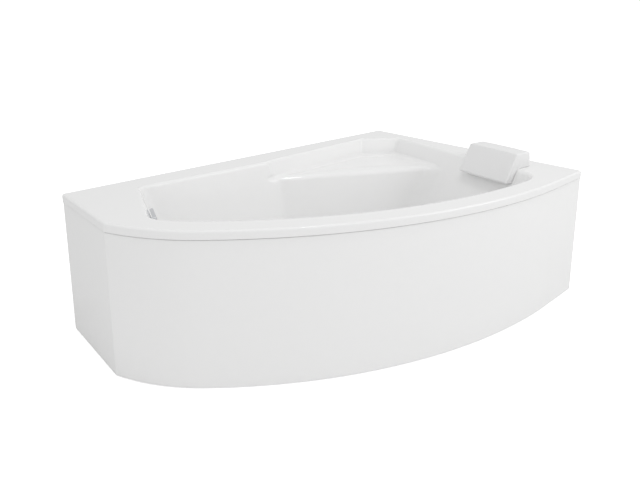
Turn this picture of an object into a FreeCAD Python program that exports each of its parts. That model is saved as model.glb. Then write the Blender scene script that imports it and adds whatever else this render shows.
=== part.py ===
import FreeCAD, Part
import math
import os
from FreeCAD import Placement, Rotation, Vector

os.makedirs("parts", exist_ok=True)

# An asymmetric corner bath: acrylic shell, one curved apron, pillow, leg frame, waste and overflow.
# Plan positions are given as (u, v): u runs from the narrow foot end to the head end along the long
# wall, v runs from the long wall towards the room, z runs up from the floor. All sizes are in mm.
# The part's frame has +X along u and +Y towards the long wall; its origin is on the floor, below the
# middle of the bath's bounding box.

# Outline of the rim
LENGTH = 1700.0
WIDTH = 1126.0
FOOT_WIDTH = 390.0
RIM_HEIGHT = 530.0
FRONT_ANGLE_FOOT = math.radians(67.0)
FRONT_TURN_LIMIT = math.radians(44.0)
FRONT_STRAIGHT = 227.9
FRONT_RADIUS_FOOT = 700.0
WALL_CORNER_RADIUS = 12.0
FOOT_CORNER_RADIUS = 20.0

# Shell: acrylic sheet with its glass-fibre backing, and the rim's turned-down lip
SHELL_WALL = 6.0
LIP_HEIGHT = 29.0
LIP_EDGE_RADIUS = 7.0
RIM_EDGE_RADIUS = 12.0

# Width of the rim, from the outline to the edge of the basin
RIM_FRONT = 86.0
RIM_BACK_AT_FOOT = 112.0
RIM_BACK_SPLAY = math.radians(2.9)
RIM_BACK_START = 240.0
RIM_FOOT = 132.0
RIM_FOOT_TURN = math.radians(20.0)
RIM_FOOT_START = 415.0
RIM_HEAD = 78.0
RIM_HEAD_TURN = math.radians(8.1)
RIM_HEAD_START = 207.0

# Basin
FLOOR_HEIGHT = 128.0
FLOOR_RADIUS = 70.0
BACK_DRAFT = math.radians(11.0)
FRONT_DRAFT = math.radians(9.0)
FOOT_DRAFT = math.radians(16.0)
BACKREST_DRAFT = math.radians(30.0)
BACKREST_EDGE_RADIUS = 30.0
ARMREST_DRAFT = math.radians(9.0)
FOOT_BACK_RADIUS = 45.0
ARMREST_START_RADIUS = 60.0
ARMREST_END_RADIUS = 70.0
HEAD_FRONT_RADIUS = 104.0
FOOT_FRONT_RADIUS = 90.0
CORNER_GROWTH = 0.12
SHORTEST_TURN = math.radians(1.0)

# Armrest shelf, let into the rim beside the bather
SHELF_DEPTH = 75.0
SHELF_RADIUS = 14.0
ARMREST_ANGLE = math.radians(27.9)
ARMREST_START = 866.0
ARMREST_START_V = 160.0
ARMREST_EDGE_RADIUS = 22.0
STEP_ANGLE = math.radians(-3.3)
STEP_START = 836.0
STEP_START_V = 130.0
STEP_DRAFT = math.radians(16.0)
STEP_JOG_ANGLE = math.radians(-31.0)
FACET_ANGLE = math.radians(36.0)
FACET_FROM_HEAD = 237.0
FACET_V = 94.0
FACET_DRAFT = math.radians(24.0)
FACET_RADIUS = 18.0
STEP_JOG_RADIUS = 12.0

# Pillow over the head end
PILLOW_FROM_CORNER = 487.0
PILLOW_WIDTH = 250.0
PILLOW_THICKNESS = 40.0
PILLOW_RISE = 65.0
PILLOW_DROP = 54.0
PILLOW_DEPTH = 88.0
PILLOW_EDGE_RADIUS = 4.0
PILLOW_GAP = 0.3
PILLOW_PEG_RADIUS = 5.0
PILLOW_PEG_LENGTH = 40.0
PILLOW_PEG_SPACING = 140.0
PILLOW_PEG_DEPTH = 24.0
PEG_CLEARANCE = 0.2

# Apron: one thermoformed panel that turns the foot corner, with flanges folded in at its top and bottom
APRON_SETBACK = 2.0
APRON_WALL = 4.0
APRON_FLOOR_GAP = 2.0
APRON_TOP_GAP = 2.0
APRON_FLANGE = 22.0
APRON_EDGE_RADIUS = 2.5
APRON_END_GAP = 3.0
CLIP_ANGLES = [6.0, 16.0, 26.0, 36.0, 54.0]
CLIP_WIDTH = 30.0
CLIP_HOOK = 8.0
CLIP_WALL = 5.0
CLIP_GAP = 0.3
CLIP_SCREW_RADIUS = 2.0
CLIP_SCREW_LENGTH = 14.0
STAY_WIDTH = 20.0
STAY_WALL = 3.0
STAY_TAB_GAP = 1.0
STAY_SCREW_INSET = 16.0
STAY_SCREW_RADIUS = 2.5

# Timber battens bonded under the rim
BATTEN_THICKNESS = 18.0
BATTEN_WIDTH = 40.0
BATTEN_SETBACK = 20.0
BATTEN_BACK_ENDS = (60.0, 260.0)
BATTEN_HEAD_ENDS = (180.0, 160.0)

# Hooks that carry the rim on the two walls
HOOK_WIDTH = 40.0
HOOK_WALL = 2.0
HOOK_DROP = 90.0
HOOK_REACH = 12.0
HOOK_RISE = 16.0
HOOK_HOLE_RADIUS = 4.0
HOOK_HOLE_SPACING = 50.0
HOOK_HOLE_FROM_LIP = 20.0
HOOK_LEFT_FROM_FOOT = 420.0
HOOK_RIGHT_FROM_HEAD = 520.0
HOOK_HEAD_FROM_CORNER = 560.0

# Base board bonded under the floor, and three steel channels screwed to it
BOARD_THICKNESS = 18.0
BOARD_MARGIN = 12.0
BOARD_WASTE_RADIUS = 55.0
RAIL_WIDTH = 40.0
RAIL_HEIGHT = 30.0
RAIL_WALL = 2.5
RAIL_OVERHANG = 115.0
RAIL_FROM_FOOT = 600.0
RAIL_FROM_HEAD = 510.0
RAIL_SCREW_RADIUS = 3.0
RAIL_SCREW_HEAD = 6.0
RAIL_SCREW_GRIP = 14.0
RAIL_SCREW_PLACES = [0.2, 0.5, 0.8]
SCREW_CLEARANCE = 0.1

# Levelling feet, two on each rail
FOOT_FROM_RAIL_END = 28.0
ROD_RADIUS = 6.0
ROD_ABOVE_RAIL = 20.0
ROD_CLEARANCE = 0.3
PAD_RADIUS = 24.0
PAD_TOP_RADIUS = 15.0
PAD_RIM = 5.0
PAD_HEIGHT = 18.0
PAD_SOCKET_FLOOR = 6.0
NUT_FLATS = 19.0
NUT_HEIGHT = 9.0
THREAD_CLEARANCE = 0.05

# Waste in the floor: flange, pop-up plug, body and trap
WASTE_U = 445.0
WASTE_V = 345.0
WASTE_HOLE_RADIUS = 26.0
FLANGE_RADIUS = 36.0
FLANGE_RISE = 2.5
THROAT_RADIUS = 20.0
FLANGE_TUBE_RADIUS = 23.0
FLANGE_TUBE_LENGTH = 12.0
GUIDE_RADIUS = 7.0
GUIDE_LENGTH = 8.0
SPOKE_WIDTH = 3.0
PLUG_RADIUS = 31.0
PLUG_HEIGHT = 6.0
PLUG_CHAMFER = 3.0
PLUG_GAP = 0.3
PLUG_SEAL_RADIUS = 18.5
PLUG_SEAL_HEIGHT = 3.0
STEM_RADIUS = 3.0
STEM_BOTTOM = 96.0
GASKET_THICKNESS = 3.0
BODY_FLANGE = 5.0
CUP_RADIUS = 28.0
PLASTIC_WALL = 3.0
CUP_BOTTOM = 74.0
TAIL_BOTTOM = 18.0
TAIL_RADIUS = 18.0
PIPE_RADIUS = 20.0
PIPE_WALL = 2.0
TRAP_RADIUS = 34.0
TRAP_WALL = 2.5
TRAP_BOTTOM = 6.0
TRAP_TOP = 52.0
COLLAR_HEIGHT = 8.0
TRAP_DIP_CLEARANCE = 0.3
OUTLET_HEIGHT = 30.0
OUTLET_LENGTH = 110.0
OUTLET_ROOT_RADIUS = 21.5
OUTLET_ROOT_START = 26.0
OUTLET_ROOT_LENGTH = 16.0
UNION_WALL = 5.0

# Overflow in the foot wall: collar, rotary knob, body, drop pipe and the knob's cable to the plug
OVERFLOW_DROP = 85.0
OVERFLOW_ALONG = 198.0
OVERFLOW_HOLE_RADIUS = 26.0
COLLAR_RADIUS = 33.0
COLLAR_THICKNESS = 3.0
COLLAR_TUBE_RADIUS = 24.0
COLLAR_TUBE_WALL = 2.0
COLLAR_TUBE_LENGTH = 22.0
KNOB_RADIUS = 35.0
KNOB_GAP = 5.0
KNOB_THICKNESS = 13.0
KNOB_CHAMFER = 3.0
KNOB_SCALLOP_RADIUS = 16.0
KNOB_SCALLOP_DEPTH = 5.0
SPINDLE_RADIUS = 4.0
SPINDLE_CLEARANCE = 0.05
OVERFLOW_FLANGE_RADIUS = 38.0
CHAMBER_RADIUS = 30.0
CHAMBER_DEPTH = 34.0
BEARING_RADIUS = 8.0
BEARING_DEPTH = 8.0
DROP_RADIUS = 14.0
DROP_WALL = 3.0
DROP_BEND_RADIUS = 70.0
PIPE_HEIGHT = 88.5
STUB_LENGTH = 58.0
INLET_LENGTH = 20.0
CABLE_RADIUS = 3.0
CABLE_OFFSET = 20.0
CABLE_BOSS_RADIUS = 5.5
CABLE_BOSS_LENGTH = 42.0
CABLE_ARC_SHARE = 0.45
CABLE_ROUTE = [(0.0, 330.0), (8.0, 258.0), (24.0, 190.0), (58.0, 128.0)]
CABLE_LEVEL_START = 112.0
CABLE_INLET_LENGTH = 16.0


class Side:
    """One side of a plan outline: a straight line, or an arc whose centre is inside the outline."""

    def __init__(self, point, angle=0.0, radius=None):
        self.point = point
        self.angle = angle
        self.radius = radius

    def along(self):
        return (math.cos(self.angle), math.sin(self.angle))

    def inwards(self):
        return (-math.sin(self.angle), math.cos(self.angle))

    def inset(self, distance):
        if self.radius is not None:
            return Side(self.point, self.angle, self.radius - distance)
        return Side(shift(self.point, self.inwards(), distance), self.angle)


def shift(point, direction, distance):
    return (point[0] + direction[0] * distance, point[1] + direction[1] * distance)


def unit(start, end):
    length = math.hypot(end[0] - start[0], end[1] - start[1])
    return ((end[0] - start[0]) / length, (end[1] - start[1]) / length)


def cross(a, b):
    return a[0] * b[1] - a[1] * b[0]


def meet(first, second):
    """The point where one side runs into the next, at the crossing that the path reaches."""
    if first.radius is None and second.radius is None:
        gap = (second.point[0] - first.point[0], second.point[1] - first.point[1])
        run = cross(gap, second.along()) / cross(first.along(), second.along())
        return shift(first.point, first.along(), run)
    line, arc = (first, second) if first.radius is None else (second, first)
    offset = (arc.point[0] - line.point[0], arc.point[1] - line.point[1])
    direction = line.along()
    run = offset[0] * direction[0] + offset[1] * direction[1]
    half_chord = math.sqrt(arc.radius ** 2 - cross(direction, offset) ** 2)
    return shift(line.point, direction, run + half_chord if line is first else run - half_chord)


def touch(side, centre):
    """The point of a side that is nearest to the centre of a corner arc."""
    if side.radius is not None:
        return shift(side.point, unit(side.point, centre), side.radius)
    offset = (centre[0] - side.point[0], centre[1] - side.point[1])
    direction = side.along()
    return shift(side.point, direction, offset[0] * direction[0] + offset[1] * direction[1])


def corner(first, second, radius):
    """Start, middle and end of the arc that rounds the corner between two sides.

    A negative radius rounds a corner that points into the outline, and None is a smooth joint.
    """
    if radius is None:
        small = second if second.radius is not None else first
        large = first if first.radius is not None else None
        outwards = unit(large.point, small.point) if large else (-first.inwards()[0], -first.inwards()[1])
        point = shift(small.point, outwards, small.radius)
        return point, None, point
    centre = meet(first.inset(radius), second.inset(radius))
    start = touch(first, centre)
    end = touch(second, centre)
    middle = ((start[0] + end[0]) / 2, (start[1] + end[1]) / 2)
    return start, shift(centre, unit(centre, middle), abs(radius)), end


def place(point, z):
    """A plan position and a height, in the part's frame."""
    return Vector(point[0] - LENGTH / 2, WIDTH / 2 - point[1], z)


def joined(sides, radii):
    """The sides of an outline with its corners.

    Where a rounded corner reaches back to a smooth joint between two arcs, it takes the place of the arc
    after the joint. The last short piece of the arc before it then counts as that side.
    """
    sides = list(sides)
    count = len(sides)
    corners = [corner(sides[i], sides[(i + 1) % count], radii[i]) for i in range(count)]
    for i in range(count - 2):
        large, small = sides[i], sides[i + 1]
        if radii[i] is None and large.radius is not None and small.radius is not None:
            turn = cross(unit(small.point, corners[i][0]), unit(small.point, corners[i + 1][0]))
            if turn < math.sin(SHORTEST_TURN):
                sides[i + 1] = large
                corners[i + 1] = corner(large, sides[i + 2], radii[i + 1])
                start = corners[i + 1][0]
                bearing = math.atan2(start[1] - large.point[1], start[0] - large.point[0]) - SHORTEST_TURN
                joint = shift(large.point, (math.cos(bearing), math.sin(bearing)), large.radius)
                corners[i] = (joint, None, joint)
    return sides, corners


def outline(sides, radii, z):
    """The closed wire of an outline: its sides, with each corner rounded."""
    sides, corners = joined(sides, radii)
    edges = []
    for i, side in enumerate(sides):
        start, end = corners[i - 1][2], corners[i][0]
        if side.radius is None:
            edges.append(Part.LineSegment(place(start, z), place(end, z)))
        else:
            middle = ((start[0] + end[0]) / 2, (start[1] + end[1]) / 2)
            crown = shift(side.point, unit(side.point, middle), side.radius)
            edges.append(Part.Arc(place(start, z), place(crown, z), place(end, z)))
        if corners[i][1] is not None:
            edges.append(Part.Arc(*[place(point, z) for point in corners[i]]))
    return Part.Wire([edge.toShape() for edge in edges])


def slab(wire, height):
    return Part.Face(wire).extrude(Vector(0, 0, height))


def box(low_u, high_u, low_v, high_v, low_z, high_z):
    corner_point = place((low_u, high_v), low_z)
    return Part.makeBox(high_u - low_u, high_v - low_v, high_z - low_z, corner_point)


def rod(point, radius, low_z, high_z):
    return Part.makeCylinder(radius, high_z - low_z, place(point, low_z))


def fuse(shapes):
    return shapes[0].multiFuse(shapes[1:]).removeSplitter()


def save(node, shape):
    solids = shape.Solids
    shape = solids[0] if len(solids) == 1 else Part.makeCompound(solids)
    shape.exportStep("parts/%s.step" % node)
    print("%-24s %2d solids %10.1f cm3" % (node, len(solids), sum(s.Volume for s in solids) / 1000))


# The front of the rim: a tight arc at the foot, a wide arc and a straight run into the head wall. The
# tight arc starts at a given angle and the wide arc turns by what is left, up to its limit. A wider
# bath than that starts its tight arc more steeply.
foot_start = (FRONT_RADIUS_FOOT * math.sin(FRONT_ANGLE_FOOT), FRONT_RADIUS_FOOT * math.cos(FRONT_ANGLE_FOOT))
wide_run = LENGTH - FRONT_STRAIGHT - foot_start[0]
wide_rise = WIDTH - FOOT_WIDTH - FRONT_RADIUS_FOOT + foot_start[1]
FRONT_TURN = min(2 * math.atan2(wide_rise, wide_run), FRONT_TURN_LIMIT)
half_slope = math.tan(FRONT_TURN / 2)
front_lean = 1 + (half_slope * (LENGTH - FRONT_STRAIGHT) - WIDTH + FOOT_WIDTH) / FRONT_RADIUS_FOOT
foot_angle = FRONT_TURN / 2 + math.acos(math.cos(FRONT_TURN / 2) * front_lean)
wide_reach = LENGTH - FRONT_STRAIGHT - FRONT_RADIUS_FOOT * (math.sin(foot_angle) - math.sin(FRONT_TURN))
FRONT_RADIUS_WIDE = wide_reach / math.sin(FRONT_TURN)
wide_centre = (LENGTH - FRONT_STRAIGHT, WIDTH - FRONT_RADIUS_WIDE)
tight_centre = shift(
    wide_centre, (-math.sin(FRONT_TURN), math.cos(FRONT_TURN)), FRONT_RADIUS_WIDE - FRONT_RADIUS_FOOT
)

WALL_SIDE = Side((0.0, 0.0), 0.0)
HEAD_SIDE = Side((LENGTH, 0.0), math.pi / 2)
FRONT_SIDE = Side((LENGTH, WIDTH), math.pi)
WIDE_ARC = Side(wide_centre, radius=FRONT_RADIUS_WIDE)
TIGHT_ARC = Side(tight_centre, radius=FRONT_RADIUS_FOOT)
FOOT_SIDE = Side((0.0, FOOT_WIDTH), -math.pi / 2)
RIM_SIDES = [WALL_SIDE, HEAD_SIDE, FRONT_SIDE, WIDE_ARC, TIGHT_ARC, FOOT_SIDE]


def rim_outline(z, inset=0.0):
    """The bath's outline in plan, moved inwards by inset."""
    wall_radius = max(WALL_CORNER_RADIUS - inset, 1.0)
    foot_radius = max(FOOT_CORNER_RADIUS - inset, 1.0)
    radii = [wall_radius, wall_radius, None, None, foot_radius, wall_radius]
    return outline([side.inset(inset) for side in RIM_SIDES], radii, z)


class Wall:
    """A wall of the basin: its line at the rim, its draft, and the rounding at its top edge and its foot."""

    def __init__(self, side, draft, top, edge_radius, floor, floor_radius):
        self.side = side
        self.draft = draft
        self.top = top
        self.edge_radius = edge_radius
        self.floor = floor
        self.floor_radius = floor_radius

    def inset(self, z, skin):
        """How far the wall stands inside its line at height z. The surface lies skin behind the face."""
        half_turn = (math.pi / 2 - self.draft) / 2
        cosine, sine, slope = math.cos(self.draft), math.sin(self.draft), math.tan(self.draft)
        edge_reach = self.edge_radius * math.tan(half_turn)
        if z >= self.top - skin:
            return -edge_reach
        if z > self.top - edge_reach * cosine - skin * sine:
            rise = z - self.top + self.edge_radius
            return math.sqrt((self.edge_radius - skin) ** 2 - rise ** 2) - edge_reach
        floor_reach = self.floor_radius * math.tan(half_turn)
        if z < self.floor + floor_reach * cosine - skin * sine:
            fall = min(self.floor + self.floor_radius - z, self.floor_radius + skin)
            foot = slope * (self.top - self.floor) + floor_reach
            return foot - math.sqrt((self.floor_radius + skin) ** 2 - fall ** 2)
        return slope * (self.top - z) - skin / cosine

    def at(self, z, skin):
        return self.side.inset(self.inset(z, skin))


SHELF_HEIGHT = RIM_HEIGHT - SHELF_DEPTH
back_line = Side((RIM_BACK_START, RIM_BACK_AT_FOOT), RIM_BACK_SPLAY)
armrest_line = Side((ARMREST_START, ARMREST_START_V), ARMREST_ANGLE)
head_line = Side((LENGTH - RIM_HEAD, RIM_HEAD_START), math.pi / 2 + RIM_HEAD_TURN)
foot_line = Side((RIM_FOOT, RIM_FOOT_START), -math.pi / 2 + RIM_FOOT_TURN)
step_line = Side((STEP_START, STEP_START_V), STEP_ANGLE)
jog_line = Side((STEP_START, STEP_START_V), STEP_JOG_ANGLE)
facet_line = Side((LENGTH - FACET_FROM_HEAD, FACET_V), FACET_ANGLE)


def well_wall(side, draft, edge_radius=RIM_EDGE_RADIUS, top=RIM_HEIGHT):
    return Wall(side, draft, top, edge_radius, FLOOR_HEIGHT, FLOOR_RADIUS)


def shelf_wall(side, draft, edge_radius=RIM_EDGE_RADIUS):
    return Wall(side, draft, RIM_HEIGHT, edge_radius, SHELF_HEIGHT, SHELF_RADIUS)


back_wall = well_wall(back_line, BACK_DRAFT)
armrest_wall = well_wall(armrest_line, ARMREST_DRAFT, ARMREST_EDGE_RADIUS, SHELF_HEIGHT)
head_wall = well_wall(head_line, BACKREST_DRAFT, BACKREST_EDGE_RADIUS)
front_wall = well_wall(WIDE_ARC.inset(RIM_FRONT), FRONT_DRAFT)
foot_front_wall = well_wall(TIGHT_ARC.inset(RIM_FRONT), FRONT_DRAFT)
foot_wall = well_wall(foot_line, FOOT_DRAFT)
shared_walls = [head_wall, front_wall, foot_front_wall, foot_wall]
shared_radii = [HEAD_FRONT_RADIUS, None, FOOT_FRONT_RADIUS, FOOT_BACK_RADIUS]

# Up to the shelf, the bather's well. Above it, one outline round the well and the shelf beside it.
WELL_WALLS = [back_wall, armrest_wall] + shared_walls
WELL_RADII = [ARMREST_START_RADIUS, ARMREST_END_RADIUS] + shared_radii
SHELF_WALLS = [shelf_wall(line, draft) for line, draft in (
    (jog_line, STEP_DRAFT), (step_line, STEP_DRAFT), (facet_line, FACET_DRAFT)
)]
UPPER_WALLS = [back_wall] + SHELF_WALLS + shared_walls
UPPER_RADII = [-STEP_JOG_RADIUS, FACET_RADIUS, FACET_RADIUS, FACET_RADIUS] + shared_radii


def well_section(z, skin):
    growth = CORNER_GROWTH * (RIM_HEIGHT - z)
    radii = [r and r + skin + growth for r in WELL_RADII]
    return outline([wall.at(z, skin) for wall in WELL_WALLS], radii, z)


def upper_section(z, skin):
    growth = CORNER_GROWTH * (RIM_HEIGHT - z)
    own = [r + skin for r in UPPER_RADII[:4]]
    shared = [r and r + skin + growth for r in UPPER_RADII[4:]]
    return outline([wall.at(z, skin) for wall in UPPER_WALLS], own + shared, z)


def quarter(top, radius, skin, steps):
    """Heights down a rounded edge, from its top."""
    angles = [math.pi / 2 * k / steps for k in range(steps + 1)]
    return [top - radius + (radius - skin) * math.cos(angle) for angle in angles]


def foot_heights(floor, radius, skin, steps):
    """Heights down a rounded foot, to the floor."""
    angles = [math.pi / 2 * k / steps for k in range(steps, -1, -1)]
    return [floor + radius - (radius + skin) * math.cos(angle) for angle in angles]


def basin(skin):
    """The hollow of the bath, grown by skin: the well, and above the shelf's height the shelf with it."""
    ledge = SHELF_HEIGHT - skin
    rim = quarter(RIM_HEIGHT, BACKREST_EDGE_RADIUS, skin, 3)[:2] + [RIM_HEIGHT - RIM_EDGE_RADIUS - skin]
    ridge = quarter(SHELF_HEIGHT, ARMREST_EDGE_RADIUS, skin, 2)
    foot = foot_heights(FLOOR_HEIGHT, FLOOR_RADIUS, skin, 4)
    above = [RIM_HEIGHT + LIP_EDGE_RADIUS] if skin == 0 else []
    upper = above + sorted(set(rim + foot_heights(SHELF_HEIGHT, SHELF_RADIUS, skin, 2)), reverse=True)
    upper_part = Part.makeLoft([upper_section(z, skin) for z in upper[:-1] + [ledge]], True, True)
    lower = [ledge] + sorted(set(ridge[1:] + foot), reverse=True)
    lower_part = Part.makeLoft([well_section(z, skin) for z in lower], True, True)
    return upper_part.fuse(lower_part)


def make_rim():
    """The rim's flat deck with its rounded outer edge and turned-down lip."""
    low = RIM_HEIGHT - LIP_HEIGHT
    block = slab(rim_outline(low), LIP_HEIGHT)
    edges = [edge for edge in block.Edges if edge.BoundBox.ZMin > RIM_HEIGHT - 0.01]
    block = block.makeFillet(LIP_EDGE_RADIUS, edges)
    inside = slab(rim_outline(low - 1.0, SHELL_WALL), LIP_HEIGHT - SHELL_WALL + 1.0)
    return block.cut(inside)


def turned(shape, point, degrees):
    """A piece made round the frame's origin, turned about the vertical and moved to a plan position."""
    piece = shape.copy()
    piece.Placement = Placement(place(point, 0.0), Rotation(Vector(0, 0, 1), degrees))
    return piece


def prism(profile, width):
    """A profile of (y, z) points, extruded along x and centred on it."""
    points = [Vector(-width / 2, y, z) for y, z in profile]
    return Part.Face(Part.makePolygon(points + points[:1])).extrude(Vector(width, 0, 0))


def tube(low_z, high_z, radius, bore):
    outer = Part.makeCylinder(radius, high_z - low_z, Vector(0, 0, low_z))
    return outer.cut(Part.makeCylinder(bore, high_z - low_z + 2.0, Vector(0, 0, low_z - 1.0)))


def front_point(angle, inset=0.0):
    """The point of the front curve whose tangent stands at this angle to the long wall."""
    arc = WIDE_ARC if angle < FRONT_TURN else TIGHT_ARC
    return shift(arc.point, (-math.sin(angle), math.cos(angle)), arc.radius - inset)


def front_v(u, inset):
    """How far the wide arc of the front, moved inwards by inset, stands from the long wall at u."""
    return WIDE_ARC.point[1] + math.sqrt((WIDE_ARC.radius - inset) ** 2 - (u - WIDE_ARC.point[0]) ** 2)


# Places that several pieces share
DECK_UNDERSIDE = RIM_HEIGHT - SHELL_WALL
LIP_BOTTOM = RIM_HEIGHT - LIP_HEIGHT
BATTEN_BOTTOM = DECK_UNDERSIDE - BATTEN_THICKNESS
FLOOR_UNDERSIDE = FLOOR_HEIGHT - SHELL_WALL
BOARD_BOTTOM = FLOOR_UNDERSIDE - BOARD_THICKNESS
RAIL_BOTTOM = BOARD_BOTTOM - RAIL_HEIGHT
WEB_BOTTOM = BOARD_BOTTOM - RAIL_WALL
WASTE = (WASTE_U, WASTE_V)
RAIL_HEAD = LENGTH - RAIL_FROM_HEAD
RAILS = {"foot": RAIL_FROM_FOOT, "middle": (RAIL_FROM_FOOT + RAIL_HEAD) / 2, "head": RAIL_HEAD}

overflow_height = RIM_HEIGHT - OVERFLOW_DROP
overflow_side = foot_wall.at(overflow_height, 0.0)
overflow_point = shift(overflow_side.point, overflow_side.along(), OVERFLOW_ALONG)
overflow_inwards = overflow_side.inwards()
OVERFLOW_AXIS = Vector(
    overflow_inwards[0] * math.cos(FOOT_DRAFT),
    -overflow_inwards[1] * math.cos(FOOT_DRAFT),
    math.sin(FOOT_DRAFT),
)


def at_overflow(shape):
    """A piece made with its axis along z and its face on the wall at z = 0, set in the foot wall."""
    piece = shape.copy()
    tilt = Rotation(Vector(0, 0, 1), OVERFLOW_AXIS)
    piece.Placement = Placement(place(overflow_point, overflow_height), tilt)
    return piece


def at_waste(shape):
    return turned(shape, WASTE, 0.0)


# Pillow: its section is drawn across the head line, with y pointing away from the bather
pillow_side = Side(head_line.point, head_line.angle)
pillow_middle = shift(pillow_side.point, pillow_side.along(), PILLOW_FROM_CORNER + PILLOW_WIDTH / 2)
pillow_degrees = -90.0 - math.degrees(RIM_HEAD_TURN)
backrest_slope = math.tan(BACKREST_DRAFT)
edge_turn = (math.pi / 2 - BACKREST_DRAFT) / 2
edge_reach = BACKREST_EDGE_RADIUS * math.tan(edge_turn)


def backrest_y(z, clearance):
    """The backrest's plane at height z, moved towards the bather by clearance."""
    return -(RIM_HEIGHT - z) * backrest_slope - clearance / math.cos(BACKREST_DRAFT)


def make_pillow():
    """A wedge that sits on the deck, wraps over its edge and hangs in front of the backrest."""
    top, bottom = RIM_HEIGHT + PILLOW_RISE, RIM_HEIGHT - PILLOW_DROP
    radius = BACKREST_EDGE_RADIUS + PILLOW_GAP
    centre_y, centre_z = edge_reach, RIM_HEIGHT - BACKREST_EDGE_RADIUS
    front_top = (backrest_y(top, PILLOW_THICKNESS), top)
    back_y = front_top[0] + PILLOW_DEPTH

    def rounded(angle):
        return (centre_y - radius * math.sin(angle), centre_z + radius * math.cos(angle))

    def point(y, z):
        return Vector(-PILLOW_WIDTH / 2, y, z)

    deck = point(*rounded(0.0))
    crown = point(*rounded(edge_turn))
    foot = point(*rounded(2 * edge_turn))
    seat = RIM_HEIGHT + PILLOW_GAP
    outline_points = [
        foot,
        point(backrest_y(bottom, PILLOW_GAP), bottom),
        point(backrest_y(bottom, PILLOW_THICKNESS), bottom),
        point(*front_top),
        point(back_y, top),
        point(back_y, seat),
        deck,
    ]
    edges = [Part.LineSegment(a, b).toShape() for a, b in zip(outline_points, outline_points[1:])]
    edges.append(Part.Arc(deck, crown, foot).toShape())
    body = Part.Face(Part.Wire(edges)).extrude(Vector(PILLOW_WIDTH, 0, 0))
    boxes = [(edge, edge.BoundBox) for edge in body.Edges]
    proud = [edge for edge, b in boxes if b.ZMax > seat + 1.0 or b.YMax < -edge_reach - 1.0]
    return body.makeFillet(PILLOW_EDGE_RADIUS, proud)


def pegs(radius, low_z, high_z):
    row_y = (edge_reach + backrest_y(RIM_HEIGHT + PILLOW_RISE, PILLOW_THICKNESS) + PILLOW_DEPTH) / 2
    places = [-PILLOW_PEG_SPACING / 2, PILLOW_PEG_SPACING / 2]
    pair = [Part.makeCylinder(radius, high_z - low_z, Vector(x, row_y, low_z)) for x in places]
    return turned(Part.makeCompound(pair), pillow_middle, pillow_degrees)


# The shell, with holes for the waste, the overflow and the pillow's pegs
shell = make_rim().fuse(basin(SHELL_WALL)).cut(basin(0.0))
shell = shell.cut(rod(WASTE, WASTE_HOLE_RADIUS, 0.0, RIM_HEIGHT / 2))
drill_start = Vector(0, 0, -COLLAR_TUBE_LENGTH)
shell = shell.cut(at_overflow(Part.makeCylinder(OVERFLOW_HOLE_RADIUS, 2 * COLLAR_TUBE_LENGTH, drill_start)))
shell = shell.cut(pegs(PILLOW_PEG_RADIUS + PEG_CLEARANCE, RIM_HEIGHT - PILLOW_PEG_LENGTH, RIM_HEIGHT + 1.0))
save("bath_shell", shell)

peg_top = RIM_HEIGHT + PILLOW_PEG_DEPTH
pillow = turned(make_pillow(), pillow_middle, pillow_degrees)
save("pillow", pillow.cut(pegs(PILLOW_PEG_RADIUS, RIM_HEIGHT - 1.0, peg_top)))
save("pillow_pegs", pegs(PILLOW_PEG_RADIUS, peg_top - PILLOW_PEG_LENGTH, peg_top))


# Apron
APRON_TOP = LIP_BOTTOM - APRON_TOP_GAP
APRON_BACK = APRON_SETBACK + APRON_WALL
FLANGE_BACK = APRON_SETBACK + APRON_FLANGE


def make_apron():
    """The panel and its two flanges, open along the two walls of the room."""
    height = APRON_TOP - APRON_FLOOR_GAP
    block = slab(rim_outline(APRON_FLOOR_GAP, APRON_SETBACK), height)
    edges = [edge for edge in block.Edges if edge.BoundBox.ZMin > APRON_TOP - 0.01]
    block = block.makeFillet(APRON_EDGE_RADIUS, edges)
    between = slab(rim_outline(APRON_FLOOR_GAP + APRON_WALL, APRON_BACK), height - 2 * APRON_WALL)
    through = slab(rim_outline(0.0, FLANGE_BACK), RIM_HEIGHT)
    head_cut = box(LENGTH - FLANGE_BACK - 1.0, LENGTH, -1.0, WIDTH + 1.0, 0.0, RIM_HEIGHT)
    wall_cut = box(-1.0, LENGTH, -1.0, FLANGE_BACK + 1.0, 0.0, RIM_HEIGHT)
    front_end = box(LENGTH - FLANGE_BACK - 1.0, LENGTH, WIDTH - APRON_BACK, WIDTH, 0.0, RIM_HEIGHT)
    foot_end = box(-1.0, APRON_BACK, APRON_END_GAP, FLANGE_BACK + 2.0, 0.0, RIM_HEIGHT)
    panel = block.cut(between).cut(through)
    ends = block.cut(between).common(front_end.fuse(foot_end))
    return fuse([panel.cut(head_cut.fuse(wall_cut)), ends])


def clip_screws(radius, low_z, high_z):
    """The clips' screws or their holes, one below each batten place."""
    middle = BATTEN_SETBACK + BATTEN_WIDTH / 2
    places = [front_point(math.radians(angle), middle) for angle in CLIP_ANGLES]
    return Part.makeCompound([rod(point, radius, low_z, high_z) for point in places])


def make_clip():
    """A block with two jaws that hold the apron's top flange. y runs inwards from the rim's outline."""
    back = BATTEN_SETBACK + BATTEN_WIDTH - CLIP_WALL
    jaw_back = FLANGE_BACK + CLIP_GAP
    jaw_front = jaw_back - CLIP_HOOK
    flange_low = APRON_TOP - APRON_WALL - CLIP_GAP
    flange_high = APRON_TOP + CLIP_GAP
    bottom = flange_low - CLIP_WALL
    return prism([
        (back, BATTEN_BOTTOM), (back, bottom), (jaw_front, bottom), (jaw_front, flange_low),
        (jaw_back, flange_low), (jaw_back, flange_high), (jaw_front, flange_high), (jaw_front, BATTEN_BOTTOM),
    ], CLIP_WIDTH)


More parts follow.
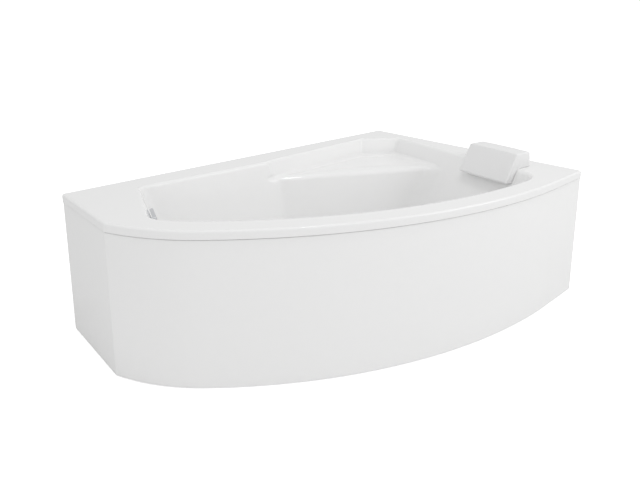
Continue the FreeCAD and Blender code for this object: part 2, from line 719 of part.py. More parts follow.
apron = make_apron()
stay_screw_places = []
for rail_u in RAILS.values():
    stay_screw_places.append((rail_u, front_v(rail_u, STAY_SCREW_INSET)))
stay_holes = [rod(p, STAY_SCREW_RADIUS + SCREW_CLEARANCE, 0.0, RAIL_BOTTOM) for p in stay_screw_places]
save("apron", apron.cut(Part.makeCompound(stay_holes)))
clip_bottom = APRON_TOP - APRON_WALL - CLIP_GAP - CLIP_WALL
clip_screw_top = clip_bottom + CLIP_SCREW_LENGTH
clip_holes = clip_screws(CLIP_SCREW_RADIUS + SCREW_CLEARANCE, clip_bottom - 1.0, clip_screw_top)
clips = []
for angle in CLIP_ANGLES:
    clips.append(turned(make_clip(), front_point(math.radians(angle)), -angle))
save("apron_clips", Part.makeCompound(clips).cut(clip_holes))
screws = []
for angle in CLIP_ANGLES:
    point = front_point(math.radians(angle), BATTEN_SETBACK + BATTEN_WIDTH / 2)
    shank = rod(point, CLIP_SCREW_RADIUS, clip_bottom, clip_screw_top)
    screws.append(shank.fuse(rod(point, 2 * CLIP_SCREW_RADIUS, clip_bottom - CLIP_SCREW_RADIUS, clip_bottom)))
save("apron_clip_screws", Part.makeCompound(screws))


# Battens under the rim
batten_end = LENGTH - BATTEN_SETBACK - BATTEN_WIDTH - BATTEN_SETBACK
ring = slab(rim_outline(BATTEN_BOTTOM, BATTEN_SETBACK), BATTEN_THICKNESS)
ring = ring.cut(slab(rim_outline(BATTEN_BOTTOM, BATTEN_SETBACK + BATTEN_WIDTH), BATTEN_THICKNESS))
front_part = box(BATTEN_SETBACK, batten_end, FOOT_WIDTH, WIDTH, BATTEN_BOTTOM, DECK_UNDERSIDE)
save("rim_batten_front", ring.common(front_part).cut(clip_holes))
back_low, back_high = BATTEN_BACK_ENDS[0], LENGTH - BATTEN_BACK_ENDS[1]
batten_inner = BATTEN_SETBACK + BATTEN_WIDTH
save("rim_batten_back", box(back_low, back_high, BATTEN_SETBACK, batten_inner, BATTEN_BOTTOM, DECK_UNDERSIDE))
head_low, head_high = BATTEN_HEAD_ENDS[0], WIDTH - BATTEN_HEAD_ENDS[1]
batten_u = LENGTH - batten_inner
batten_outer = LENGTH - BATTEN_SETBACK
save("rim_batten_head", box(batten_u, batten_outer, head_low, head_high, BATTEN_BOTTOM, DECK_UNDERSIDE))


# Wall hooks: a plate on the wall, a ledge under the lip and a tongue behind it
def make_hook():
    plate_bottom = LIP_BOTTOM - HOOK_DROP
    ledge = LIP_BOTTOM - HOOK_WALL
    hook = prism([
        (0.0, plate_bottom), (HOOK_WALL, plate_bottom), (HOOK_WALL, ledge), (HOOK_REACH, ledge),
        (HOOK_REACH, LIP_BOTTOM + HOOK_RISE), (HOOK_REACH - HOOK_WALL, LIP_BOTTOM + HOOK_RISE),
        (HOOK_REACH - HOOK_WALL, LIP_BOTTOM), (0.0, LIP_BOTTOM),
    ], HOOK_WIDTH)
    high_hole = LIP_BOTTOM - HOOK_HOLE_FROM_LIP
    for z in (high_hole, high_hole - HOOK_HOLE_SPACING):
        start = Vector(0, -1.0, z)
        hook = hook.cut(Part.makeCylinder(HOOK_HOLE_RADIUS, HOOK_WALL + 2.0, start, Vector(0, 1, 0)))
    return hook


save("wall_hook_left", turned(make_hook(), (HOOK_LEFT_FROM_FOOT, 0.0), 180.0))
save("wall_hook_right", turned(make_hook(), (LENGTH - HOOK_RIGHT_FROM_HEAD, 0.0), 180.0))
save("wall_hook_head", turned(make_hook(), (LENGTH, HOOK_HEAD_FROM_CORNER), 90.0))


# Base board, following the flat of the floor
def board_outline(z):
    sides = [wall.at(FLOOR_UNDERSIDE, SHELL_WALL).inset(BOARD_MARGIN) for wall in WELL_WALLS]
    growth = CORNER_GROWTH * (RIM_HEIGHT - FLOOR_UNDERSIDE)
    return outline(sides, [r and r + growth for r in WELL_RADII], z)


board = slab(board_outline(BOARD_BOTTOM), BOARD_THICKNESS)


def board_span(u):
    """Where the base board begins and ends at u, measured from the long wall."""
    strip = board.common(box(u - 0.5, u + 0.5, 0.0, WIDTH, 0.0, RIM_HEIGHT)).BoundBox
    return WIDTH / 2 - strip.YMax, WIDTH / 2 - strip.YMin


def make_rail(u, low_v, high_v):
    """A channel with its web upwards, drilled for the two feet."""
    half = RAIL_WIDTH / 2
    rail = box(u - half, u + half, low_v, high_v, RAIL_BOTTOM, BOARD_BOTTOM)
    bore = half - RAIL_WALL
    rail = rail.cut(box(u - bore, u + bore, low_v - 1.0, high_v + 1.0, 0.0, WEB_BOTTOM))
    for v in (low_v + FOOT_FROM_RAIL_END, high_v - FOOT_FROM_RAIL_END):
        rail = rail.cut(rod((u, v), ROD_RADIUS + ROD_CLEARANCE, 0.0, RIM_HEIGHT))
    return rail


def make_nut(point, low_z):
    corners = [math.radians(60.0 * k) for k in range(7)]
    reach = NUT_FLATS / 2 / math.cos(math.pi / 6)
    wire = Part.makePolygon([
        place((point[0] + reach * math.cos(a), point[1] + reach * math.sin(a)), low_z) for a in corners
    ])
    bore = rod(point, ROD_RADIUS + THREAD_CLEARANCE, low_z - 1.0, low_z + NUT_HEIGHT + 1.0)
    return slab(wire, NUT_HEIGHT).cut(bore)


def make_pad(point):
    """A moulded pad: a flat rim with flats to turn it by, and a neck with a socket for the rod."""
    tiers = []
    for radius, low_z, high_z in ((PAD_RADIUS, 0.0, PAD_RIM), (PAD_TOP_RADIUS, PAD_RIM, PAD_HEIGHT)):
        flats = [math.radians(30.0 * k) for k in range(13)]
        corners = [place(shift(point, (math.cos(a), math.sin(a)), radius), low_z) for a in flats]
        tiers.append(slab(Part.makePolygon(corners), high_z - low_z))
    return fuse(tiers).cut(rod(point, ROD_RADIUS, PAD_SOCKET_FLOOR, PAD_HEIGHT + 1.0))


def make_stay(u, rail_end):
    """A bent strip from the rail's end to the apron's bottom flange."""
    flange_top = APRON_FLOOR_GAP + APRON_WALL
    leg = front_v(u - STAY_WIDTH / 2, FLANGE_BACK) - 2 * STAY_WALL
    tab = front_v(u - STAY_WIDTH / 2, APRON_BACK + STAY_TAB_GAP)
    return turned(prism([
        (rail_end, BOARD_BOTTOM), (rail_end, RAIL_BOTTOM), (leg, RAIL_BOTTOM), (leg, flange_top),
        (tab, flange_top), (tab, flange_top + STAY_WALL), (leg + STAY_WALL, flange_top + STAY_WALL),
        (leg + STAY_WALL, RAIL_BOTTOM + STAY_WALL), (rail_end + STAY_WALL, RAIL_BOTTOM + STAY_WALL),
        (rail_end + STAY_WALL, BOARD_BOTTOM),
    ], STAY_WIDTH), (u, 0.0), 180.0)


rail_screws, nuts, stays, board_holes = [], [], [], [rod(WASTE, BOARD_WASTE_RADIUS, 0.0, RIM_HEIGHT)]
foot_number = 0
for name, rail_u in RAILS.items():
    board_low, board_high = board_span(rail_u)
    low_v, high_v = board_low - RAIL_OVERHANG, board_high + RAIL_OVERHANG
    rail = make_rail(rail_u, low_v, high_v)
    for share in RAIL_SCREW_PLACES:
        point = (rail_u, board_low + share * (board_high - board_low))
        hole = rod(point, RAIL_SCREW_RADIUS + SCREW_CLEARANCE, WEB_BOTTOM - 1.0, WEB_BOTTOM + RAIL_SCREW_GRIP)
        rail = rail.cut(hole)
        board_holes.append(hole)
        head = rod(point, RAIL_SCREW_HEAD, WEB_BOTTOM - RAIL_SCREW_RADIUS, WEB_BOTTOM)
        rail_screws.append(head.fuse(rod(point, RAIL_SCREW_RADIUS, WEB_BOTTOM, WEB_BOTTOM + RAIL_SCREW_GRIP)))
    save("leg_rail_%s" % name, rail)
    stays.append(make_stay(rail_u, high_v))
    for v in (low_v + FOOT_FROM_RAIL_END, high_v - FOOT_FROM_RAIL_END):
        point = (rail_u, v)
        foot_number += 1
        rod_top = BOARD_BOTTOM + ROD_ABOVE_RAIL
        save("foot_rod_%d" % foot_number, rod(point, ROD_RADIUS, PAD_SOCKET_FLOOR, rod_top))
        save("foot_pad_%d" % foot_number, make_pad(point))
        nuts += [make_nut(point, BOARD_BOTTOM), make_nut(point, WEB_BOTTOM - NUT_HEIGHT)]
save("base_board", board.cut(Part.makeCompound(board_holes)))
save("rail_screws", Part.makeCompound(rail_screws))
save("foot_lock_nuts", Part.makeCompound(nuts))
save("apron_stays", Part.makeCompound(stays).cut(Part.makeCompound(stay_holes)))
stay_screws = []
for point in stay_screw_places:
    flange_top = APRON_FLOOR_GAP + APRON_WALL
    head_bottom = flange_top + STAY_WALL
    shank = rod(point, STAY_SCREW_RADIUS, APRON_FLOOR_GAP, head_bottom)
    head = rod(point, 2 * STAY_SCREW_RADIUS, head_bottom, head_bottom + STAY_SCREW_RADIUS)
    stay_screws.append(shank.fuse(head))
save("apron_stay_screws", Part.makeCompound(stay_screws))


# Waste: flange with its tube and guide, plug with stem and seal
def make_waste_flange():
    top = FLOOR_HEIGHT + FLANGE_RISE
    low = FLOOR_UNDERSIDE - FLANGE_TUBE_LENGTH
    ring = tube(FLOOR_HEIGHT, top, FLANGE_RADIUS, THROAT_RADIUS)
    ring = ring.fuse(tube(low, top, FLANGE_TUBE_RADIUS, THROAT_RADIUS))
    guide_top = low + GUIDE_LENGTH
    spokes = [Part.makeCylinder(GUIDE_RADIUS, GUIDE_LENGTH, Vector(0, 0, low))]
    for k in range(3):
        arm = Part.makeBox(THROAT_RADIUS + 1.0, SPOKE_WIDTH, GUIDE_LENGTH, Vector(0, -SPOKE_WIDTH / 2, low))
        arm.rotate(Vector(), Vector(0, 0, 1), 120.0 * k)
        spokes.append(arm)
    flange = fuse([ring] + spokes)
    bore = Part.makeCylinder(STEM_RADIUS + SPINDLE_CLEARANCE, guide_top - low + 2.0, Vector(0, 0, low - 1.0))
    return flange.cut(bore)


def make_plug():
    """A round cap on a stem."""
    cap = Part.makeCylinder(PLUG_RADIUS, PLUG_HEIGHT, Vector(0, 0, plug_low))
    top_edge = [edge for edge in cap.Edges if edge.BoundBox.ZMin > plug_low + PLUG_HEIGHT - 0.01]
    stem = Part.makeCylinder(STEM_RADIUS, plug_low - STEM_BOTTOM, Vector(0, 0, STEM_BOTTOM))
    return cap.makeChamfer(PLUG_CHAMFER, top_edge).fuse(stem)


plug_low = FLOOR_HEIGHT + FLANGE_RISE + PLUG_GAP
save("waste_flange", at_waste(make_waste_flange()))
save("waste_plug", at_waste(make_plug()))
save("plug_seal", at_waste(tube(plug_low - PLUG_SEAL_HEIGHT, plug_low, PLUG_SEAL_RADIUS, STEM_RADIUS)))
gasket_bottom = FLOOR_UNDERSIDE - GASKET_THICKNESS
save("waste_gasket", at_waste(tube(gasket_bottom, FLOOR_UNDERSIDE, FLANGE_RADIUS, WASTE_HOLE_RADIUS)))

# The overflow's pipe drops behind the foot wall, then runs under the floor to the waste body
chamber_middle = -SHELL_WALL - GASKET_THICKNESS - BODY_FLANGE - CHAMBER_DEPTH / 2
chamber_plan = shift(overflow_point, (OVERFLOW_AXIS.x, -OVERFLOW_AXIS.y), chamber_middle)
chamber_z = overflow_height + OVERFLOW_AXIS.z * chamber_middle
pipe_run = unit(chamber_plan, WASTE)
pipe_side = (pipe_run[1], -pipe_run[0])
cable_plan = shift(chamber_plan, pipe_side, CABLE_OFFSET)
stub_bottom = chamber_z - STUB_LENGTH
cable_top = chamber_z - CABLE_BOSS_LENGTH


def side_pipe(radius, offset, reach):
    """A level cylinder from below the waste towards the overflow."""
    start = place(shift(WASTE, pipe_side, offset), PIPE_HEIGHT)
    return Part.makeCylinder(radius, reach, start, Vector(-pipe_run[0], pipe_run[1], 0))


def swept(path, radius, start, direction):
    """A round bar along a path of tangent lines and arcs."""
    section = Part.Face(Part.Wire(Part.makeCircle(radius, start, direction)))
    return Part.Wire([edge.toShape() for edge in path]).makePipe(section)


def drop(plan, inlet, top_z, bend, radius):
    """A solid pipe: straight down, a quarter turn, and level to its inlet on the waste body."""
    top = place(plan, top_z)
    turn = place(plan, PIPE_HEIGHT + bend)
    half_way = bend * (1 - math.sqrt(0.5))
    crown = place(shift(plan, pipe_run, half_way), PIPE_HEIGHT + half_way)
    level = place(shift(plan, pipe_run, bend), PIPE_HEIGHT)
    end = place(shift(WASTE, pipe_run, -inlet), PIPE_HEIGHT)
    path = [Part.LineSegment(top, turn), Part.Arc(turn, crown, level), Part.LineSegment(level, end)]
    return swept(path, radius, top, turn - top)


def make_waste_body():
    """A cup under the flange with a tail for the trap, an inlet for the pipe and one for the cable."""
    top = gasket_bottom
    inlet = CUP_RADIUS + INLET_LENGTH
    depth = top - CUP_BOTTOM
    cup = fuse([
        at_waste(Part.makeCylinder(FLANGE_RADIUS, BODY_FLANGE, Vector(0, 0, top - BODY_FLANGE))),
        at_waste(Part.makeCylinder(CUP_RADIUS, depth, Vector(0, 0, CUP_BOTTOM))),
        at_waste(Part.makeCylinder(TAIL_RADIUS, CUP_BOTTOM - TAIL_BOTTOM, Vector(0, 0, TAIL_BOTTOM))),
        side_pipe(DROP_RADIUS, 0.0, inlet),
        side_pipe(CABLE_BOSS_RADIUS, CABLE_OFFSET, CUP_RADIUS + CABLE_INLET_LENGTH),
    ])
    cup_floor = CUP_BOTTOM + PLASTIC_WALL
    hollow = fuse([
        at_waste(Part.makeCylinder(CUP_RADIUS - PLASTIC_WALL, depth, Vector(0, 0, cup_floor))),
        at_waste(Part.makeCylinder(TAIL_RADIUS - PIPE_WALL, CUP_BOTTOM, Vector(0, 0, TAIL_BOTTOM - 1.0))),
        side_pipe(DROP_RADIUS - DROP_WALL, 0.0, inlet + 1.0),
    ])
    return cup.cut(hollow)


def make_trap():
    """A low cup that the waste body's tail dips into, with a level outlet towards the long wall."""
    outlet = place(WASTE, OUTLET_HEIGHT)
    towards_wall = Vector(0, 1, 0)
    root = outlet + towards_wall * OUTLET_ROOT_START
    collar = TAIL_RADIUS + TRAP_DIP_CLEARANCE
    cup = fuse([
        rod(WASTE, TRAP_RADIUS, TRAP_BOTTOM, TRAP_TOP),
        rod(WASTE, collar + TRAP_WALL, TRAP_TOP - TRAP_WALL, TRAP_TOP + COLLAR_HEIGHT),
        Part.makeCylinder(PIPE_RADIUS, OUTLET_LENGTH, outlet, towards_wall),
        Part.makeCone(OUTLET_ROOT_RADIUS, PIPE_RADIUS, OUTLET_ROOT_LENGTH, root, towards_wall),
    ])
    hollow = fuse([
        rod(WASTE, TRAP_RADIUS - TRAP_WALL, TRAP_BOTTOM + TRAP_WALL, TRAP_TOP - TRAP_WALL),
        rod(WASTE, collar, TRAP_BOTTOM + TRAP_WALL, RIM_HEIGHT / 2),
        Part.makeCylinder(PIPE_RADIUS - PIPE_WALL, OUTLET_LENGTH + 1.0, outlet, towards_wall),
    ])
    return cup.cut(hollow)


save("waste_body", make_waste_body())
save("trap", make_trap())
union_bore = TAIL_RADIUS + TRAP_DIP_CLEARANCE + TRAP_WALL
union_high = TRAP_TOP + COLLAR_HEIGHT
union_radius = union_bore + UNION_WALL
union = tube(TRAP_TOP, union_high, union_radius, union_bore)
union_roof = tube(union_high, union_high + UNION_WALL, union_radius, TAIL_RADIUS + TRAP_DIP_CLEARANCE)
save("trap_union_nut", at_waste(union.fuse(union_roof)))


# Overflow, drawn with its axis along z and the face of the wall at z = 0
def make_collar():
    ring = tube(0.0, COLLAR_THICKNESS, COLLAR_RADIUS, COLLAR_TUBE_RADIUS - COLLAR_TUBE_WALL)
    bore = COLLAR_TUBE_RADIUS - COLLAR_TUBE_WALL
    return ring.fuse(tube(-COLLAR_TUBE_LENGTH, COLLAR_THICKNESS, COLLAR_TUBE_RADIUS, bore))


def make_knob():
    """A bevelled disc with two finger scallops, on a spindle."""
    low = COLLAR_THICKNESS + KNOB_GAP
    disc = Part.makeCylinder(KNOB_RADIUS, KNOB_THICKNESS, Vector(0, 0, low))
    face_edge = [edge for edge in disc.Edges if edge.BoundBox.ZMin > low + KNOB_THICKNESS - 0.01]
    disc = disc.makeChamfer(KNOB_CHAMFER, face_edge)
    for side in (-1, 1):
        centre = Vector(0, side * (KNOB_RADIUS + KNOB_SCALLOP_RADIUS - KNOB_SCALLOP_DEPTH), low - 1.0)
        disc = disc.cut(Part.makeCylinder(KNOB_SCALLOP_RADIUS, KNOB_THICKNESS + 2.0, centre))
    return disc.fuse(Part.makeCylinder(SPINDLE_RADIUS, low - chamber_middle, Vector(0, 0, chamber_middle)))


def make_overflow_body():
    """A flanged chamber: the spindle's bearing in its back, a stub for the pipe, a boss for the cable."""
    flange_top = -SHELL_WALL - GASKET_THICKNESS
    chamber_top = flange_top - BODY_FLANGE
    back = chamber_top - CHAMBER_DEPTH
    bearing_top = back + PLASTIC_WALL + BEARING_DEPTH + CHAMBER_DEPTH / 3
    body = fuse([
        at_overflow(Part.makeCylinder(OVERFLOW_FLANGE_RADIUS, BODY_FLANGE, Vector(0, 0, chamber_top))),
        at_overflow(Part.makeCylinder(CHAMBER_RADIUS, flange_top - back, Vector(0, 0, back))),
        rod(chamber_plan, DROP_RADIUS, stub_bottom, chamber_z),
        rod(cable_plan, CABLE_BOSS_RADIUS, cable_top, chamber_z),
    ])
    hollow_bottom = back + PLASTIC_WALL
    hollow_radius = CHAMBER_RADIUS - PLASTIC_WALL
    hollow_depth = flange_top - hollow_bottom + 1.0
    hollow = at_overflow(Part.makeCylinder(hollow_radius, hollow_depth, Vector(0, 0, hollow_bottom)))
    body = body.cut(fuse([hollow, rod(chamber_plan, DROP_RADIUS - DROP_WALL, stub_bottom - 1.0, chamber_z)]))
    bearing = tube(back, bearing_top, BEARING_RADIUS, SPINDLE_RADIUS + SPINDLE_CLEARANCE)
    return fuse([body, at_overflow(bearing)])


save("overflow_body", make_overflow_body())
gasket_low = -SHELL_WALL - GASKET_THICKNESS
gasket = tube(gasket_low, -SHELL_WALL, OVERFLOW_FLANGE_RADIUS, OVERFLOW_HOLE_RADIUS)
save("overflow_gasket", at_overflow(gasket))
save("overflow_collar", at_overflow(make_collar()))
save("overflow_knob", at_overflow(make_knob()))
inlet = CUP_RADIUS + INLET_LENGTH
overflow_pipe = drop(chamber_plan, inlet, stub_bottom, DROP_BEND_RADIUS, DROP_RADIUS)
pipe_bore = drop(chamber_plan, inlet, stub_bottom, DROP_BEND_RADIUS, DROP_RADIUS - DROP_WALL)
save("overflow_pipe", overflow_pipe.cut(pipe_bore))


# The cable hangs beside the pipe. Each point of its route is a distance towards the waste and a height.
def cable_tube(points, radius):
    """Straight runs joined by tangent arcs, each as large as its two runs allow."""
    path = []
    start = points[0]
    for before, point, after in zip(points, points[1:], points[2:]):
        back, ahead = before - point, after - point
        reach = CABLE_ARC_SHARE * min(back.Length, ahead.Length)
        first = point + back.normalize() * reach
        last = point + ahead.normalize() * reach
        half_turn = (math.pi - back.getAngle(ahead)) / 2
        arc_radius = reach / math.tan(half_turn)
        print("cable arc radius %.0f mm" % arc_radius)
        sag = arc_radius * (1 / math.cos(half_turn) - 1)
        crown = point + (back + ahead).normalize() * sag
        path += [Part.LineSegment(start, first), Part.Arc(first, crown, last)]
        start = last
    path.append(Part.LineSegment(start, points[-1]))
    return swept(path, radius, points[0], points[1] - points[0])


waste_distance = math.hypot(WASTE_U - chamber_plan[0], WASTE_V - chamber_plan[1])
cable_reach = waste_distance - CUP_RADIUS - CABLE_INLET_LENGTH
level_run = [(CABLE_LEVEL_START, PIPE_HEIGHT), (cable_reach, PIPE_HEIGHT)]
cable_route = [(0.0, cable_top)] + CABLE_ROUTE + level_run
cable_points = [place(shift(cable_plan, pipe_run, run), z) for run, z in cable_route]
save("plug_cable", cable_tube(cable_points, CABLE_RADIUS))
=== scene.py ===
import math
import bpy
import numpy as np
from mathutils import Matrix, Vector


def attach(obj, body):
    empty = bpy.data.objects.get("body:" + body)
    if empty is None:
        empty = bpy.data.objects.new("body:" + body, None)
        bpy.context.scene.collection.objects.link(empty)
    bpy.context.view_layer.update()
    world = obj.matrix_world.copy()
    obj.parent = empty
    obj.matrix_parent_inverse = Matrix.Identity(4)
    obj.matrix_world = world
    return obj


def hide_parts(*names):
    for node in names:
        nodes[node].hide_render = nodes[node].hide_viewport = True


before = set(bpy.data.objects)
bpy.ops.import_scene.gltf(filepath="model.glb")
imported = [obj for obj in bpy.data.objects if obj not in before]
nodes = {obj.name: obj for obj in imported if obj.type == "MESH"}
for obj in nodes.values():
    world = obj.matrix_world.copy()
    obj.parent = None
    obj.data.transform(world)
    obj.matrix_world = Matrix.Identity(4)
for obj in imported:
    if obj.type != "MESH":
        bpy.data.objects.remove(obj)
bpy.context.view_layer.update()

# Camera
# It stands in front of the foot end, above the rim, and looks down along the bath. The frame is
# shifted down a little, as the photograph's framing needs.
camera = bpy.data.objects.new("camera", bpy.data.cameras.new("camera"))
bpy.context.scene.collection.objects.link(camera)
camera.location = (-1.431, -1.463, 1.149)
yaw, pitch = math.radians(47.81), math.radians(11.7)
level_part = math.cos(pitch)
gaze = Vector((math.cos(yaw) * level_part, math.sin(yaw) * level_part, -math.sin(pitch)))
camera.rotation_euler = gaze.to_track_quat("-Z", "Y").to_euler()
camera.data.sensor_width = 36.0
camera.data.lens = 30.98
camera.data.shift_y = -0.17
camera.data.clip_end = 100.0
bpy.context.scene.camera = camera
bpy.context.scene.view_settings.view_transform = "Standard"


# Plug cable
# A thin sheathed cable runs from the knob's housing down behind the foot wall and under the floor
# to the waste. It is held at both ends and curves freely between them.
def noise_group():
    """A node group that turns Object coordinates into a noise mask and a bumped normal.

    Scale is in features per metre and Depth is the height of the bump in metres.
    """
    group = bpy.data.node_groups.new("surface_grain", "ShaderNodeTree")
    group.interface.new_socket("Scale", in_out="INPUT", socket_type="NodeSocketFloat")
    group.interface.new_socket("Depth", in_out="INPUT", socket_type="NodeSocketFloat")
    group.interface.new_socket("Mask", in_out="OUTPUT", socket_type="NodeSocketFloat")
    group.interface.new_socket("Normal", in_out="OUTPUT", socket_type="NodeSocketVector")
    start = group.nodes.new("NodeGroupInput")
    end = group.nodes.new("NodeGroupOutput")
    place = group.nodes.new("ShaderNodeTexCoord")
    noise = group.nodes.new("ShaderNodeTexNoise")
    noise.inputs["Detail"].default_value = 4.0
    bump = group.nodes.new("ShaderNodeBump")
    bump.inputs["Strength"].default_value = 1.0
    links = group.links
    links.new(place.outputs["Object"], noise.inputs["Vector"])
    links.new(start.outputs["Scale"], noise.inputs["Scale"])
    links.new(noise.outputs["Fac"], bump.inputs["Height"])
    links.new(start.outputs["Depth"], bump.inputs["Distance"])
    links.new(noise.outputs["Fac"], end.inputs["Mask"])
    links.new(bump.outputs["Normal"], end.inputs["Normal"])
    return group


GRAIN_LOW, GRAIN_HIGH = 0.3, 0.7
grain = noise_group()


def finish_material(name, dark, light, rough, metallic=0.0, scale=200.0, depth=0.00002):
    """A material whose colour and roughness vary between two values with the grain.

    dark and light are the two colours, rough the lowest and highest roughness, scale the grain's
    features per metre and depth the height of its bump in metres. Most of the grain lies between
    GRAIN_LOW and GRAIN_HIGH, and that span is stretched over the roughness.
    """
    material = bpy.data.materials.new(name)
    material.use_nodes = True
    tree = material.node_tree
    shader = tree.nodes["Principled BSDF"]
    shader.inputs["Metallic"].default_value = metallic
    texture = tree.nodes.new("ShaderNodeGroup")
    texture.node_tree = grain
    texture.inputs["Scale"].default_value = scale
    texture.inputs["Depth"].default_value = depth
    colours = tree.nodes.new("ShaderNodeMix")
    colours.data_type = "RGBA"
    colours.inputs["A"].default_value = (*dark, 1.0)
    colours.inputs["B"].default_value = (*light, 1.0)
    spread = tree.nodes.new("ShaderNodeMapRange")
    spread.inputs["From Min"].default_value = GRAIN_LOW
    spread.inputs["From Max"].default_value = GRAIN_HIGH
    spread.inputs["To Min"].default_value = rough[0]
    spread.inputs["To Max"].default_value = rough[1]
    tree.links.new(texture.outputs["Mask"], colours.inputs["Factor"])
    tree.links.new(texture.outputs["Mask"], spread.inputs["Value"])
    tree.links.new(colours.outputs["Result"], shader.inputs["Base Color"])
    tree.links.new(spread.outputs["Result"], shader.inputs["Roughness"])
    tree.links.new(texture.outputs["Normal"], shader.inputs["Normal"])
    return material


SHEATH_RADIUS = 0.003
cable_route = [
    (-0.646857, 0.354009, 0.394455), (-0.646857, 0.354009, 0.33), (-0.63962, 0.3506, 0.258),
    (-0.625145, 0.343783, 0.19), (-0.594385, 0.329297, 0.128), (-0.545532, 0.30629, 0.0885),
    (-0.436285, 0.254841, 0.0885),
]
cable_curve = bpy.data.curves.new("plug_cable_run", "CURVE")
cable_curve.dimensions = "3D"
cable_curve.bevel_depth = SHEATH_RADIUS
cable_curve.bevel_resolution = 3
cable_curve.resolution_u = 12
cable_curve.use_fill_caps = True
cable_line = cable_curve.splines.new("NURBS")
cable_line.points.add(len(cable_route) - 1)
for point, place in zip(cable_line.points, cable_route):
    point.co = (*place, 1.0)
cable_line.order_u = 3
cable_line.use_endpoint_u = True
cable = bpy.data.objects.new("plug_cable_run", cable_curve)
bpy.context.scene.collection.objects.link(cable)
cable_curve.materials.append(finish_material(
    "cable_sheath", (0.020, 0.020, 0.021), (0.034, 0.034, 0.035), (0.38, 0.52), scale=900.0
))
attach(cable, "bath")
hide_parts("plug_cable")


# Bath shell
# White acrylic formed in one piece, with glass fibre sprayed 6 mm below its face. It hangs by its
# rim on battens and hooks. In mm, u runs along the long wall from the foot end and v away from it.
LENGTH, WIDTH = 1700.0, 1126.0
RIM_HEIGHT, SHELF_HEIGHT, FLOOR_HEIGHT = 530.0, 455.0, 128.0
THICKNESS = 6.0

# The front leaves the foot end on the tight arc, at this distance from the long wall and at this
# angle to it. The wide arc ends where the front turns straight, parallel to that wall.
FOOT_END = 390.0
TIGHT_RADIUS, TIGHT_ANGLE = 700.0, math.radians(67.0)
STRAIGHT_START = 1472.1


def line(u, v, point, degrees):
    """Distance inwards, in plan, from the straight line through point that runs at this angle."""
    angle = math.radians(degrees)
    return (v - point[1]) * math.cos(angle) - (u - point[0]) * math.sin(angle)


def front(u, v):
    """Distance inwards from the curved front, which is two arcs that meet in a common tangent.

    The tight arc's centre follows from its start at the foot end. The wide arc's radius is the one
    with which it touches both the tight arc and the straight part.
    """
    tight_u = TIGHT_RADIUS * math.sin(TIGHT_ANGLE)
    tight_v = FOOT_END - TIGHT_RADIUS * math.cos(TIGHT_ANGLE)
    turn = 2 * math.atan2(WIDTH - TIGHT_RADIUS - tight_v, STRAIGHT_START - tight_u)
    wide_radius = TIGHT_RADIUS + (STRAIGHT_START - tight_u) / math.sin(turn)
    wide = wide_radius - np.hypot(u - STRAIGHT_START, v - WIDTH + wide_radius)
    tight = TIGHT_RADIUS - np.hypot(u - tight_u, v - tight_v)
    past = (u - tight_u) * math.cos(turn) + (v - tight_v) * math.sin(turn)
    return np.where(past < 0, tight, wide)


def rounded(a, b, radius):
    """The larger of two signed distances, with the corner where they meet rounded off."""
    inside = np.minimum(-radius, np.maximum(a, b))
    return inside + np.hypot(np.maximum(radius + a, 0.0), np.maximum(radius + b, 0.0))


def leaning(distance, top, draft, z):
    """Signed distance to a wall that leans out upwards by draft from its line at the height top."""
    lean = math.radians(draft)
    return (math.tan(lean) * (top - z) - distance) * math.cos(lean)


def ramp(value, low, high):
    """0 below low, 1 above high, and a smooth rise between."""
    share = np.clip((value - low) / (high - low), 0.0, 1.0)
    return share * share * (3 - 2 * share)


# Each straight wall of the basin: a point on its top line, that line's direction in degrees, its
# height, and how far the wall leans outwards in degrees. The front wall keeps a rim of one width.
WALLS = {
    "back": ((240.0, 112.0), 2.9, RIM_HEIGHT, 11.0),
    "armrest": ((866.0, 160.0), 27.9, SHELF_HEIGHT, 9.0),
    "head": ((1622.0, 207.0), 98.1, RIM_HEIGHT, 30.0),
    "foot": ((132.0, 415.0), -70.0, RIM_HEIGHT, 16.0),
    "jog": ((836.0, 130.0), -31.0, RIM_HEIGHT, 16.0),
    "step": ((836.0, 130.0), -3.3, RIM_HEIGHT, 16.0),
    "facet": ((1463.0, 94.0), 36.0, RIM_HEIGHT, 24.0),
}
FRONT_RIM, FRONT_DRAFT = 86.0, 9.0

# Upright corners: the radius at the rim, the share of it that rounded() takes where the two walls
# don't meet squarely, and what that share gains down to the floor. A radius grows by CORNER_GROWTH
# for each mm of depth. The foot end's corners with the front are those before FOOT_HALF.
CORNERS = {
    "armrest": (60.0, 0.081, 0.0),
    "foot": (45.0, 0.668, 0.0),
    "head": (70.0, 0.621, 0.0),
    "foot_front": (90.0, 0.343, 0.184),
    "head_front": (104.0, 0.79, 0.22),
}
CORNER_GROWTH = 0.12
FOOT_HALF = 800.0

# The shelf's own corners, the nose between it and the well (blunt below the shelf, sharp above it,
# over the heights given), and the backrest's corner above the shelf.
STEP_CORNER, FACET_CORNER, SHELF_CORNER = 1.8, 3.6, 9.6
NOSE_BLUNT, NOSE_SHARP, NOSE_HEIGHTS = 22.0, 4.0, (457.0, 474.0)
UPPER_HEAD_CORNER, UPPER_HEAD_HEIGHTS = 8.8, (445.0, 468.0)

# The floor's corner, the shares of it below the well, head, foot and front walls, and the distance
# over which one share gives way to the next.
FLOOR_CORNER, FLOOR_SHARES, FLOOR_BLEND = 70.0, (0.79, 0.457, 0.687, 0.817), 15.0


def corner_radius(name, z):
    """A corner's radius at the height z: it grows towards the floor, as the moulding's does."""
    radius, share, gain = CORNERS[name]
    share = share + gain * (RIM_HEIGHT - z) / (RIM_HEIGHT - FLOOR_HEIGHT)
    return share * (radius + CORNER_GROWTH * (RIM_HEIGHT - z))


